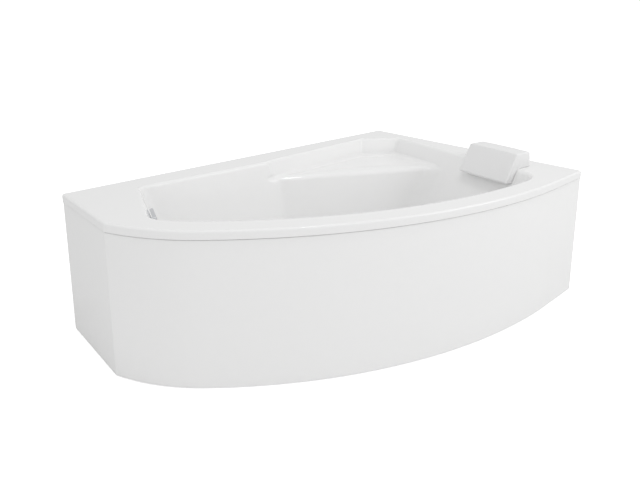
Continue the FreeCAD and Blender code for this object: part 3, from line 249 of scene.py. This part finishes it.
def hollow(u, v, z):
    """Signed distance to the wall of the basin, below 0 in the air, and the backrest's share of it.

    The well and the shelf beside it are joined first, then closed by the foot wall, the backrest,
    the front and the floor.
    """
    wall = {
        name: leaning(line(u, v, point, turn), top, draft, z)
        for name, (point, turn, top, draft) in WALLS.items()
    }
    side = leaning(front(u, v) - FRONT_RIM, RIM_HEIGHT, FRONT_DRAFT, z)
    well = rounded(wall["back"], wall["armrest"], corner_radius("armrest", z))
    shelf = rounded(rounded(wall["jog"], wall["step"], STEP_CORNER), wall["facet"], FACET_CORNER)
    shelf = rounded(shelf, SHELF_HEIGHT - z, SHELF_CORNER)
    nose = NOSE_BLUNT - (NOSE_BLUNT - NOSE_SHARP) * ramp(z, *NOSE_HEIGHTS)
    both = -rounded(-well, -shelf, nose)
    both = rounded(both, wall["foot"], corner_radius("foot", z))
    above = ramp(z, *UPPER_HEAD_HEIGHTS)
    head_corner = corner_radius("head", z) * (1 - above) + UPPER_HEAD_CORNER * above
    both = rounded(both, wall["head"], head_corner)
    foot_front, head_front = corner_radius("foot_front", z), corner_radius("head_front", z)
    both = rounded(both, side, np.where(u < FOOT_HALF, foot_front, head_front))
    meeting_floor = (well, wall["head"], wall["foot"], side)
    walls = np.stack([np.broadcast_to(part, np.shape(both)) for part in meeting_floor])
    near = np.exp((walls - walls.max(axis=0)) / FLOOR_BLEND)
    near = near / near.sum(axis=0)
    floor_share = sum(share * part for share, part in zip(FLOOR_SHARES, near))
    return rounded(both, FLOOR_HEIGHT - z, FLOOR_CORNER * floor_share), near[1]


# The outer corners against the room's walls, and the foot corner of the front with its share.
WALL_CORNER, FOOT_CORNER, FOOT_CORNER_SHARE = 12.0, 20.0, 0.0686
SHARPEST_CORNER = 1.0


def outline(u, v, inset=0.0):
    """Signed distance to the bath's outline in plan, moved inwards by inset; below 0 inside it."""
    wall_radius = max(WALL_CORNER - inset, SHARPEST_CORNER)
    foot_radius = FOOT_CORNER_SHARE * max(FOOT_CORNER - inset, SHARPEST_CORNER)
    apron_side = np.where(u > STRAIGHT_START, WIDTH - v, front(u, v))
    walls = rounded(rounded(inset - v, inset + u - LENGTH, wall_radius), inset - u, wall_radius)
    return rounded(walls, inset - apron_side, np.where(u < FOOT_HALF, foot_radius, wall_radius))


# The rim's inner edge, what it gains along the backrest, the rim's outer edge, and the smallest
# radius that each keeps on the underside.
INNER_EDGE, BACKREST_GAIN, INNER_EDGE_LEAST = 9.6, 4.1, 2.0
OUTER_EDGE, OUTER_EDGE_LEAST = 7.0, 1.5


def body(u, v, z, skin):
    """Signed distance to the floor, walls and deck, or to their undersides at a depth of skin."""
    basin, head_share = hollow(u, v, z)
    edge = np.maximum(INNER_EDGE + BACKREST_GAIN * head_share - skin, INNER_EDGE_LEAST)
    return rounded(z - RIM_HEIGHT + skin, skin - basin, edge)


def solid(u, v, z, skin):
    """The same, closed by the outer edge and its lip; below 0 under the surface."""
    edge = max(OUTER_EDGE - skin, OUTER_EDGE_LEAST)
    return rounded(body(u, v, z, skin), outline(u, v) + skin, edge)


# The shell is worked out on rays from the middle of the basin. REACH is longer than any ray.
# Towards these places of the plan the rays stand closer together, by the gain given third.
MIDDLE_U, MIDDLE_V = 900.0, 600.0
REACH = 1300.0
CLOSER = [
    (0, 390, 3.0), (0, 0, 1.5), (1700, 0, 1.5), (1700, 1126, 2.0), (828, 140, 3.0),
    (1455, 105, 2.0), (1610, 200, 2.5), (1560, 950, 1.5), (180, 250, 1.6), (150, 330, 1.6),
    (445, 345, 1.2), (1500, 500, 1.0),
]
CLOSER_WIDTH, FINE_ANGLES = 0.06, 20001
FULL_TURN = 2 * math.pi


def direction(u, v):
    """The angle in plan at which a place is seen from the middle."""
    return math.atan2(v - MIDDLE_V, u - MIDDLE_U)


def ray_angles(count, low=0.0, high=FULL_TURN):
    """Angles from low to high, spaced so that equal steps carry equal weight.

    The weight is 1 plus a bell curve towards each place in CLOSER. Over a full turn the last angle
    stops one step short of the first.
    """
    fine = np.linspace(low, high, FINE_ANGLES)
    weight = np.full(fine.shape, 1.0)
    for u, v, gain in CLOSER:
        off = (fine - direction(u, v) + math.pi) % FULL_TURN - math.pi
        weight += gain * np.exp(-(off / CLOSER_WIDTH) ** 2)
    mass = np.concatenate([[0.0], np.cumsum((weight[1:] + weight[:-1]) / 2)])
    ends = np.linspace(0.0, mass[-1], count, endpoint=high - low < FULL_TURN)
    return np.interp(ends, mass, fine)


def on_rays(radius, rays):
    """The places u, v in plan at this radius on the rays, given by their cosines and sines."""
    return MIDDLE_U + radius * rays[0], MIDDLE_V + radius * rays[1]


def where_crossed(inside, low, high):
    """The radius on each ray where inside(radius) turns true, by halving the span 32 times."""
    for _ in range(32):
        middle = (low + high) / 2
        hit = inside(middle)
        high = np.where(hit, middle, high)
        low = np.where(hit, low, middle)
    return (low + high) / 2


# The shares of the floor's width at which its rows stand, and the heights of the level rows. The
# falling rows are looked for down to the heights called LOWEST.
FLOOR_ROWS = (
    0.12, 0.25, 0.4, 0.52, 0.6, 0.63, 0.65, 0.662, 0.672, 0.682, 0.692, 0.705, 0.725, 0.75
)
WALL_ROWS = (205.0, 235.0, 265.0, 295.0, 325.0, 355.0, 380.0, 405.0)
LEDGE_START, LEDGE_END, UPPER_ROW, TOP_ROW = 430.0, 475.0, 488.0, 500.0
FLOOR_LOWEST, LEDGE_LOWEST, EDGE_LOWEST = 90.0, 400.0, 502.0
# Of the falling rows over the ledge, the nose and the foot take a stretch of their own: its
# greatest length, and its share of the whole.
NOSE_STRETCH, FOOT_STRETCH = (44.0, 0.52), (30.0, 0.33)
# The inner edge starts at EDGE_START and is followed EDGE_SPREAD onto the deck. The outer edge is
# followed from BRIM_MARGIN inside the brim over BRIM_DROP, between the two BRIM_HEIGHTS.
EDGE_START, EDGE_SPREAD = 512.0, 40.0
BRIM_MARGIN, BRIM_DROP, BRIM_HEIGHTS = 25.0, 50.0, (480.0, 560.0)
LIP_BOTTOM = 501.0


def shell_rows(angles, skin):
    """Places u, v and heights z of the rows, from the floor's middle over the rim and down its lip.

    Level rows follow the walls. Where the form turns between level and steep, each row is found on
    lines that fall outwards at 45 degrees, which cross the profile once.
    """
    rays = np.cos(angles), np.sin(angles)
    nothing = np.zeros(angles.shape)
    rows = []

    def under(radius, z):
        return body(*on_rays(radius, rays), z, skin) < 0

    def past_edge(radius, z):
        return solid(*on_rays(radius, rays), z, skin) > 0

    def level(z):
        return where_crossed(lambda r: under(r, z), nothing, nothing + REACH)

    def add_level(heights):
        for z in heights:
            rows.append((level(z), nothing + z))

    def add_falling(q, lowest):
        radius = where_crossed(lambda r: under(r, q - r), nothing, q - lowest)
        rows.append((radius, q - radius))

    def add_stretch(start, length, count, lowest):
        for k in range(count):
            add_falling(start + length * k / count, lowest)

    floor_z, deck_z = FLOOR_HEIGHT - skin, RIM_HEIGHT - skin

    # The floor and its rounding into the walls.
    low = level(WALL_ROWS[0])
    for share in FLOOR_ROWS:
        add_falling(share * low + floor_z, FLOOR_LOWEST)
    start = FLOOR_ROWS[-1] * low + floor_z
    span = low + WALL_ROWS[0] - start
    for k in range(1, 13):
        add_falling(start + span * k / 13, FLOOR_LOWEST)

    # The walls, the ledge of the armrest and the walls above it.
    add_level(WALL_ROWS)
    start, end = level(LEDGE_START) + LEDGE_START, level(LEDGE_END) + LEDGE_END
    span = end - start
    nose = np.minimum(NOSE_STRETCH[0], NOSE_STRETCH[1] * span)
    foot = np.minimum(FOOT_STRETCH[0], FOOT_STRETCH[1] * span)
    add_stretch(start, nose, 11, LEDGE_LOWEST)
    add_stretch(start + nose, span - nose - foot, 5, LEDGE_LOWEST)
    add_stretch(end - foot, foot, 8, LEDGE_LOWEST)
    add_level((LEDGE_END, UPPER_ROW, TOP_ROW - skin / 2))

    # The rim's rounded inner edge and the deck.
    edge_z = EDGE_START - skin
    edge = level(edge_z)
    add_stretch(edge + edge_z, deck_z - edge_z + EDGE_SPREAD, 10, EDGE_LOWEST - skin)
    brim = where_crossed(lambda r: outline(*on_rays(r, rays)) + skin > 0, nothing, nothing + REACH)
    inner = edge + EDGE_SPREAD
    for share in (0.0, 0.4, 0.8):
        rows.append((inner + (brim - BRIM_MARGIN - inner) * share, nothing + deck_z))

    # The rounded outer edge and the lip, on lines that rise outwards at 45 degrees.
    for k in range(8):
        offset = brim - BRIM_MARGIN - deck_z + (BRIM_DROP - skin) * k / 8
        lowest, highest = offset + BRIM_HEIGHTS[0], offset + BRIM_HEIGHTS[1]
        radius = where_crossed(lambda r: past_edge(r, r - offset), lowest, highest)
        rows.append((radius, radius - offset))
    rows.append((brim, nothing + LIP_BOTTOM))
    radii, heights = np.array(rows).transpose(1, 0, 2)
    return *on_rays(radii, rays), heights


def facing(u, v, z, skin):
    """Unit directions in which the signed distance grows, from differences over 0.1 mm."""
    h = 0.05
    slope = np.stack([
        solid(u + h, v, z, skin) - solid(u - h, v, z, skin),
        solid(u, v - h, z, skin) - solid(u, v + h, z, skin),
        solid(u, v, z + h, skin) - solid(u, v, z - h, skin),
    ], axis=-1)
    return slope / np.linalg.norm(slope, axis=-1, keepdims=True)


# The waste's and the overflow's holes: centre, axis and radius of each. Points within HOLE_REACH of
# an axis give way. The cells within HOLE_CORE of it, and HOLE_DEPTH along it, are left out.
HOLES = [
    (np.array([445.0, 345.0, FLOOR_HEIGHT]), np.array([0.0, 0.0, 1.0]), 26.0),
    (np.array([222.623, 237.277, 445.0]), np.array([0.903291, 0.328771, 0.275637]), 25.0),
]
HOLE_REACH, HOLE_CORE, HOLE_DEPTH = 60.0, 6.5, 12.0


def opened(points, centre, axis, bore):
    """The points pushed away from an axis, and how far from it they lay.

    What lay on the axis comes to stand at bore, and the push falls evenly to nothing at HOLE_REACH.
    """
    offset = points - centre
    offset = offset - (offset @ axis)[..., None] * axis
    distance = np.linalg.norm(offset, axis=-1)
    pushed = bore + distance * (1 - bore / HOLE_REACH) - distance
    pushed = np.where(distance < HOLE_REACH, pushed, 0.0)
    return points + offset / np.maximum(distance, 1e-6)[..., None] * pushed[..., None], distance


def in_frame(u, v, z):
    """Points in the CAD frame and in metres, from places in plan and heights in mm."""
    return np.stack([u - LENGTH / 2, WIDTH / 2 - v, z], axis=-1) / 1000.0


def grid_faces(rows, count, rows_close=False, ring_closes=True):
    """Quads between neighbouring rows of count points, which may close on themselves either way."""
    ray = np.arange(count if ring_closes else count - 1)
    row = np.arange(rows if rows_close else rows - 1)[:, None] * count
    next_ray, next_row = (ray + 1) % count, (row + count) % (rows * count)
    return np.stack([row + ray, row + next_ray, next_row + next_ray, next_row + ray], axis=-1)


def hole_walls(keep):
    """Quads through the thickness, from the holes' edges in the face to those in the underside.

    keep marks the cells of the face that stay. The underside's rows follow the face's in the
    opposite order, so row j has its partner in row 2 * rows - 1 - j.
    """
    rows, count = keep.shape[0] + 1, keep.shape[1]
    fenced = np.pad(keep, ((1, 1), (0, 0)))
    neighbours = [
        (fenced[:-2], (0, 1), (0, 0)), (fenced[2:], (1, 0), (1, 1)),
        (np.roll(keep, 1, axis=1), (0, 0), (1, 0)), (np.roll(keep, -1, axis=1), (1, 1), (0, 1)),
    ]
    walls = []
    for stays, first, second in neighbours:
        row, ray = np.nonzero(~keep & stays)
        row_a, ray_a = row + first[0], (ray + first[1]) % count
        row_b, ray_b = row + second[0], (ray + second[1]) % count
        walls.append(np.stack([
            row_a * count + ray_a, row_b * count + ray_b,
            (2 * rows - 1 - row_b) * count + ray_b, (2 * rows - 1 - row_a) * count + ray_a,
        ], axis=-1))
    return np.concatenate(walls)


def mesh_object(name, points, faces, materials):
    """A mesh object from points in metres and faces as lists of point numbers."""
    mesh = bpy.data.meshes.new(name)
    mesh.from_pydata(points, [], faces)
    mesh.update()
    for material in materials:
        mesh.materials.append(material)
    piece = bpy.data.objects.new(name, mesh)
    bpy.context.scene.collection.objects.link(piece)
    return piece


def make_shell(count):
    """The whole shell as one closed mesh, with its face directions taken from the signed distance.

    The rows of the face are followed by the underside's in the opposite order. A fan of triangles
    closes each at the floor's middle. The last value is the number of quads on the face.
    """
    angles = ray_angles(count)
    sheets, normals = [], []
    core = False
    for skin in (0.0, THICKNESS):
        u, v, z = shell_rows(angles, skin)
        normals.append(facing(u, v, z, skin) * (1.0 if skin == 0 else -1.0))
        sheet = plain = np.stack([u, v, z], axis=-1)
        for centre, axis, bore in HOLES:
            sheet, distance = opened(sheet, centre, axis, bore)
            if skin == 0:
                core |= (distance < HOLE_CORE) & (np.abs((plain - centre) @ axis) < HOLE_DEPTH)
        sheets.append(sheet)
    rows = len(sheets[0])
    keep = ~(core[:-1] | core[1:])
    keep = keep & np.roll(keep, -1, axis=1)
    grid = np.concatenate([sheets[0], sheets[1][::-1]]).reshape(-1, 3)
    directions = np.concatenate([normals[0], normals[1][::-1]]).reshape(-1, 3)
    quads = grid_faces(2 * rows, count)
    kept = np.ones(quads.shape[:2], bool)
    kept[:rows - 1] = keep
    kept[rows:] = keep[::-1]
    quads = quads[kept]
    top, bottom = len(grid), len(grid) + 1
    poles = [[MIDDLE_U, MIDDLE_V, FLOOR_HEIGHT], [MIDDLE_U, MIDDLE_V, FLOOR_HEIGHT - THICKNESS]]
    grid = np.concatenate([grid, poles])
    directions = np.concatenate([directions, [[0.0, 0.0, 1.0], [0.0, 0.0, -1.0]]])
    ray = np.arange(count)
    after, last_row = (ray + 1) % count, (2 * rows - 1) * count
    fans = np.concatenate([
        np.stack([np.full(count, top), after, ray], axis=-1),
        np.stack([last_row + ray, last_row + after, np.full(count, bottom)], axis=-1),
    ])
    used = np.zeros(len(grid), bool)
    used[quads] = True
    used[[top, bottom]] = True
    number = np.cumsum(used) - 1
    faces = sum((number[part].tolist() for part in (quads, hole_walls(keep), fans)), [])
    places = in_frame(*grid.T)[used]
    return places.tolist(), faces, directions[used], int(kept[:rows - 1].sum())


acrylic = finish_material(
    "acrylic", (0.890, 0.890, 0.888), (0.902, 0.902, 0.900), (0.06, 0.10),
    scale=35.0, depth=0.000015,
)
acrylic.node_tree.nodes["Principled BSDF"].inputs["IOR"].default_value = 1.49
fibre = finish_material(
    "glass_fibre", (0.50, 0.50, 0.44), (0.72, 0.72, 0.66), (0.35, 0.6), scale=240.0, depth=0.0012
)
SHELL_RAYS = 560
points, faces, directions, face_quads = make_shell(SHELL_RAYS)
shell = mesh_object("shell_moulding", points, faces, [acrylic, fibre])
# The face and the fan at its middle are acrylic, and all else is glass fibre.
slots = np.ones(len(faces), dtype=np.int32)
slots[:face_quads] = 0
slots[-2 * SHELL_RAYS:-SHELL_RAYS] = 0
shell.data.polygons.foreach_set("material_index", slots)
shell.data.polygons.foreach_set("use_smooth", np.ones(len(faces), bool))
shell.data.normals_split_custom_set_from_vertices(directions.tolist())
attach(shell, "bath")
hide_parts("bath_shell")


# Apron
# One thin acrylic panel round the front and the foot end, clipped under the rim, with flanges
# folded in at its top and bottom. Its rounded top edge leaves a shadow gap under the lip.
FACE_INSET, BACK_INSET, FLANGE_INSET = 2.0, 6.0, 24.0
APRON_BOTTOM, BOTTOM_FLANGE, TOP_FLANGE, APRON_TOP = 2.0, 6.0, 495.0, 499.7
BOTTOM_BEVEL, TOP_RADIUS = 1.0, 2.5
# It starts at the head end and stops at the long wall, on the rays through these places.
HEAD_STOP, WALL_STOP = (1698.0, 1120.0), (2.0, 3.0)


def make_apron(count):
    """A closed profile of insets and heights, carried along the outline and capped at both ends."""
    angles = ray_angles(count, direction(*HEAD_STOP), FULL_TURN + direction(*WALL_STOP))
    rays = np.cos(angles), np.sin(angles)
    centre_inset, centre_z = FACE_INSET + TOP_RADIUS, APRON_TOP - TOP_RADIUS
    profile = [
        (FLANGE_INSET, APRON_BOTTOM), (FACE_INSET + BOTTOM_BEVEL, APRON_BOTTOM),
        (FACE_INSET, APRON_BOTTOM + BOTTOM_BEVEL),
    ]
    for turn in np.linspace(0.0, math.pi / 2, 6):
        inset = centre_inset - TOP_RADIUS * math.cos(turn)
        profile.append((inset, centre_z + TOP_RADIUS * math.sin(turn)))
    profile += [
        (FLANGE_INSET, APRON_TOP), (FLANGE_INSET, TOP_FLANGE), (BACK_INSET, TOP_FLANGE),
        (BACK_INSET, BOTTOM_FLANGE), (FLANGE_INSET, BOTTOM_FLANGE),
    ]
    rings = []
    for inset, z in profile:
        radius = where_crossed(
            lambda r: outline(*on_rays(r, rays), inset) > 0, np.zeros(count), np.full(count, REACH)
        )
        u, v = on_rays(radius, rays)
        rings.append(in_frame(u, np.maximum(v, WALL_STOP[1]), np.full(count, z)))
    steps = len(profile)
    quads = grid_faces(steps, count, rows_close=True, ring_closes=False)[..., [0, 3, 2, 1]]
    first_end = np.arange(steps) * count
    caps = [first_end[::-1].tolist(), (first_end + count - 1).tolist()]
    return np.concatenate(rings).tolist(), quads.reshape(-1, 4).tolist() + caps


APRON_RAYS, SHARP_TURN = 520, math.radians(35.0)
points, faces = make_apron(APRON_RAYS)
apron = mesh_object("apron_panel", points, faces, [acrylic])
apron.data.shade_smooth()
apron.data.set_sharp_from_angle(angle=SHARP_TURN)
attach(apron, "bath")
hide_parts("apron")


# Pillow
# A block of moulded foam with a satin skin, pegged to the rim. It wraps over the backrest's edge
# and shows one sloping face to the basin. Its faces are slightly crowned and its edges soft.
LEAN = math.tan(math.radians(30.0))
RIM_EDGE_RADIUS, CLEARANCE, BACKREST_GAP = 30.0, 0.4, 0.5
HANG, RISE = 54.0, 65.0
FRONT_FACE, BACK_FACE = -46.2, 41.8
PILLOW_HALF, PILLOW_FLAT, END_RADIUS = 125.0, 115.0, 6.0
# How far along the backrest's top line the pillow's middle lies.
PILLOW_PLACE = 612.0
# The swell sets in over these distances before the rim, and near the top over these heights. At the
# ends the underside gives way by UNDERSIDE_FALL.
SWELL, SWELL_DISTANCES, SWELL_HEIGHTS = 1.5, (4.0, 30.0), (560.0, 590.0)
UNDERSIDE_FALL = 1.0


def rounded_section(corners):
    """The closed line through corners of y, z and radius, with each corner turned as an arc.

    An arc's centre lies on the bisector of its corner, and seven points stand on the arc between
    the two places where it touches the sides. A corner of radius 0 is one point.
    """
    section = []
    for k, (y, z, radius) in enumerate(corners):
        here = np.array([y, z])
        if radius == 0:
            section.append(here)
            continue
        back = np.array(corners[k - 1][:2]) - here
        ahead = np.array(corners[(k + 1) % len(corners)][:2]) - here
        back, ahead = back / np.linalg.norm(back), ahead / np.linalg.norm(ahead)
        half = math.acos(float(np.clip(back @ ahead, -1, 1))) / 2
        bisector = (back + ahead) / np.linalg.norm(back + ahead)
        centre = here + bisector * radius / math.sin(half)
        first = here + back * radius / math.tan(half) - centre
        last = here + ahead * radius / math.tan(half) - centre
        for share in np.linspace(0.0, 1.0, 7):
            spoke = first * (1 - share) + last * share
            section.append(centre + spoke / np.linalg.norm(spoke) * radius)
    return np.array(section)


def divided(section, longest):
    """The same closed line, with each side cut into equal parts that are about longest at most."""
    dense = []
    for a, b in zip(section, np.roll(section, -1, axis=0)):
        parts = max(1, int(np.linalg.norm(b - a) / longest))
        dense += [a + (b - a) * k / parts for k in range(parts)]
    return np.array(dense)


def pointing_out(section):
    """Unit directions out of a closed line: its tangents turned by a right angle, away from it."""
    along = np.roll(section, -1, axis=0) - np.roll(section, 1, axis=0)
    along = along / np.linalg.norm(along, axis=1, keepdims=True)
    out = np.stack([along[:, 1], -along[:, 0]], axis=-1)
    y, z = section.T
    area = np.sum(y * np.roll(z, -1) - z * np.roll(y, -1))
    return out if area > 0 else -out


def make_pillow():
    """A section across the backrest, rounded at its corners and swept over the pillow's width.

    y runs away from the basin from the edge of the rim and z is the height. The underside follows
    the rim's rounded edge. Towards both ends the section shrinks along a quarter circle, and across
    the width the free faces swell a little, like a filled skin.
    """
    seat_radius = RIM_EDGE_RADIUS + CLEARANCE
    seat_y, seat_z = RIM_EDGE_RADIUS * LEAN, RIM_HEIGHT - RIM_EDGE_RADIUS
    low, high = RIM_HEIGHT - HANG, RIM_HEIGHT + RISE
    corners = [
        (seat_y - seat_radius * math.sin(turn), seat_z + seat_radius * math.cos(turn), 0.0)
        for turn in np.linspace(0.0, math.pi / 3, 9)
    ]
    corners += [
        (-HANG * LEAN - BACKREST_GAP, low, 3.0), (-HANG * LEAN + FRONT_FACE, low, 7.0),
        (RISE * LEAN + FRONT_FACE, high, 7.0), (RISE * LEAN + BACK_FACE, high, 8.0),
        (RISE * LEAN + BACK_FACE, RIM_HEIGHT + CLEARANCE, 3.0),
    ]
    section = divided(rounded_section(corners), 6.0)
    out = pointing_out(section)
    y, z = section.T
    before_rim = -y - (RIM_HEIGHT - z) * LEAN
    free = np.maximum(ramp(before_rim, *SWELL_DISTANCES), ramp(z, *SWELL_HEIGHTS))
    bend = END_RADIUS * (1 - np.cos(np.linspace(0.0, math.pi / 2, 8)))
    flat = np.linspace(-PILLOW_FLAT, PILLOW_FLAT, 27)
    stations = np.concatenate([-PILLOW_HALF + bend, flat, PILLOW_HALF - bend[::-1]])
    (head_u, head_v), head_degrees = WALLS["head"][:2]
    cosine, sine = math.cos(math.radians(head_degrees)), math.sin(math.radians(head_degrees))
    middle_u, middle_v = head_u + cosine * PILLOW_PLACE, head_v + sine * PILLOW_PLACE
    rings = []
    for x in stations:
        near_end = np.clip((abs(x) - (PILLOW_HALF - END_RADIUS)) / END_RADIUS, 0.0, 1.0)
        fall = 1 - math.sqrt(1 - near_end ** 2)
        crown = SWELL * (1 - (x / PILLOW_HALF) ** 2)
        shrink = (END_RADIUS * fall - crown) * free + UNDERSIDE_FALL * fall * (1 - free)
        y, z = (section - out * shrink[:, None]).T
        u = middle_u + cosine * x + sine * y
        v = middle_v + sine * x - cosine * y
        rings.append(in_frame(u, v, z))
    count = len(section)
    quads = grid_faces(len(stations), count)
    ray = np.arange(count)
    caps = [ray[::-1].tolist(), ((len(stations) - 1) * count + ray).tolist()]
    return np.concatenate(rings).tolist(), quads.reshape(-1, 4).tolist() + caps


foam = finish_material(
    "foam_skin", (0.82, 0.82, 0.82), (0.86, 0.86, 0.86), (0.32, 0.42), scale=1400.0, depth=0.00006
)
points, faces = make_pillow()
pillow = mesh_object("head_pillow", points, faces, [foam])
pillow.data.shade_smooth()
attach(pillow, "bath")
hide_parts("pillow")


# Battens and base board
# Sawn softwood bonded under the rim and raw chipboard bonded under the floor, with grain lines
# along the battens and pressed flakes on the board.
def dress(names, material):
    """Puts one material on the CAD nodes of these names."""
    for name in names:
        for slot in nodes[name].material_slots:
            slot.material = material


def wood_material(name, dark, light, stretch, scale, rough):
    """Fibres drawn out along the long wall, as colour streaks and a fine bump."""
    material = finish_material(name, dark, light, rough, scale=scale, depth=0.0004)
    tree = material.node_tree
    place = tree.nodes.new("ShaderNodeTexCoord")
    squeeze = tree.nodes.new("ShaderNodeMapping")
    squeeze.inputs["Scale"].default_value = stretch
    fibres = tree.nodes.new("ShaderNodeTexNoise")
    fibres.inputs["Scale"].default_value = scale
    fibres.inputs["Detail"].default_value = 6.0
    fibres.inputs["Distortion"].default_value = 0.6
    colours = next(node for node in tree.nodes if node.type == "MIX")
    tree.links.new(place.outputs["Object"], squeeze.inputs["Vector"])
    tree.links.new(squeeze.outputs["Vector"], fibres.inputs["Vector"])
    tree.links.new(fibres.outputs["Fac"], colours.inputs["Factor"])
    return material


dress(["rim_batten_front", "rim_batten_back", "rim_batten_head"], wood_material(
    "sawn_softwood", (0.42, 0.27, 0.13), (0.70, 0.52, 0.31), (0.06, 1.0, 1.0), 90.0, (0.6, 0.8)
))
dress(["base_board"], wood_material(
    "chipboard", (0.34, 0.23, 0.12), (0.62, 0.47, 0.29), (0.5, 1.0, 1.0), 160.0, (0.65, 0.85)
))


# Leg frame, wall hooks, clips and pegs
# Zinc-plated channels, rods, nuts, screws, hooks and stays, with the faint spangle of the plating.
# The rods stand on black moulded pads. The apron's clips and the pillow's pegs are white plastic.
FEET = range(1, 7)
zinc = finish_material(
    "zinc_plate", (0.50, 0.51, 0.52), (0.64, 0.65, 0.66), (0.26, 0.42), 1.0,
    scale=120.0, depth=0.00002,
)
dress(["foot_rod_%d" % k for k in FEET] + [
    "leg_rail_foot", "leg_rail_middle", "leg_rail_head", "rail_screws", "foot_lock_nuts",
    "wall_hook_left", "wall_hook_right", "wall_hook_head",
    "apron_stays", "apron_stay_screws", "apron_clip_screws",
], zinc)
dress(["foot_pad_%d" % k for k in FEET], finish_material(
    "pad_black", (0.030, 0.030, 0.032), (0.045, 0.045, 0.047), (0.45, 0.6),
    scale=700.0, depth=0.00008,
))
dress(["apron_clips", "pillow_pegs"], finish_material(
    "clip_white", (0.60, 0.60, 0.58), (0.66, 0.66, 0.64), (0.4, 0.5), scale=600.0, depth=0.00004
))


# Waste and overflow
# Polished chrome where they show in the basin, white moulded plastic below it. Black rubber seals
# them where they are clamped through the shell's two holes.
chrome = finish_material(
    "chrome", (0.68, 0.69, 0.71), (0.72, 0.73, 0.75), (0.05, 0.11), 1.0,
    scale=60.0, depth=0.000004,
)
dress(["waste_flange", "waste_plug", "overflow_collar", "overflow_knob"], chrome)
dress(["waste_body", "trap", "trap_union_nut", "overflow_body", "overflow_pipe"], finish_material(
    "pipe_white", (0.66, 0.66, 0.65), (0.71, 0.71, 0.70), (0.28, 0.38), scale=400.0, depth=0.00004
))
dress(["plug_seal", "waste_gasket", "overflow_gasket"], finish_material(
    "seal_rubber", (0.018, 0.018, 0.018), (0.030, 0.030, 0.030), (0.65, 0.8),
    scale=900.0, depth=0.00008,
))


# Studio
# A white floor under an even white surround. A broad lamp stands in front, to the right, a weaker
# one low at the foot end, and a small one above gives the glossy edges their highlights.
FLOOR_REACH, FLOOR_Z = 40, -0.0005
# What the floor gives out to the camera alone, so that it renders white round the shadow.
FLOOR_GLOW = 0.62
floor = mesh_object("studio_floor", [
    (-FLOOR_REACH, -FLOOR_REACH, FLOOR_Z), (FLOOR_REACH, -FLOOR_REACH, FLOOR_Z),
    (FLOOR_REACH, FLOOR_REACH, FLOOR_Z), (-FLOOR_REACH, FLOOR_REACH, FLOOR_Z),
], [(0, 1, 2, 3)], [])
white = bpy.data.materials.new("studio_white")
white.use_nodes = True
tree = white.node_tree
matt = tree.nodes["Principled BSDF"]
matt.inputs["Base Color"].default_value = (0.80, 0.80, 0.80, 1.0)
matt.inputs["Roughness"].default_value = 1.0
matt.inputs["Specular IOR Level"].default_value = 0.0
matt.inputs["Emission Color"].default_value = (1.0, 1.0, 1.0, 1.0)
seen = tree.nodes.new("ShaderNodeLightPath")
glow = tree.nodes.new("ShaderNodeMath")
glow.operation = "MULTIPLY"
glow.inputs[1].default_value = FLOOR_GLOW
tree.links.new(seen.outputs["Is Camera Ray"], glow.inputs[0])
tree.links.new(glow.outputs["Value"], matt.inputs["Emission Strength"])
floor.data.materials.append(white)

world = bpy.data.worlds.new("studio")
bpy.context.scene.world = world
world.use_nodes = True
tree = world.node_tree
background = tree.nodes["Background"]
background.inputs["Color"].default_value = (1.0, 1.0, 1.0, 1.0)
seen = tree.nodes.new("ShaderNodeLightPath")
brightness = tree.nodes.new("ShaderNodeMapRange")
brightness.inputs["To Min"].default_value = 0.75
brightness.inputs["To Max"].default_value = 1.05
tree.links.new(seen.outputs["Is Camera Ray"], brightness.inputs["Value"])
tree.links.new(brightness.outputs["Result"], background.inputs["Strength"])


def add_lamp(name, place, target, size, power):
    """A square area lamp at place, aimed at target."""
    lamp = bpy.data.objects.new(name, bpy.data.lights.new(name, "AREA"))
    lamp.data.size = size
    lamp.data.energy = power
    lamp.location = place
    lamp.rotation_euler = (Vector(target) - Vector(place)).to_track_quat("-Z", "Y").to_euler()
    bpy.context.scene.collection.objects.link(lamp)
    return lamp


add_lamp("key", (2.2, -3.6, 2.6), (0.3, 0.0, 0.4), 2.5, 40.0)
fill = add_lamp("fill", (-3.9, -2.4, 0.7), (-0.3, -0.1, 0.3), 1.6, 16.0)
# The fill would show as a bright square on the apron.
fill.visible_glossy = False
add_lamp("spark", (0.05, -0.75, 3.75), (0.0, 0.4, 0.45), 0.5, 12.0)
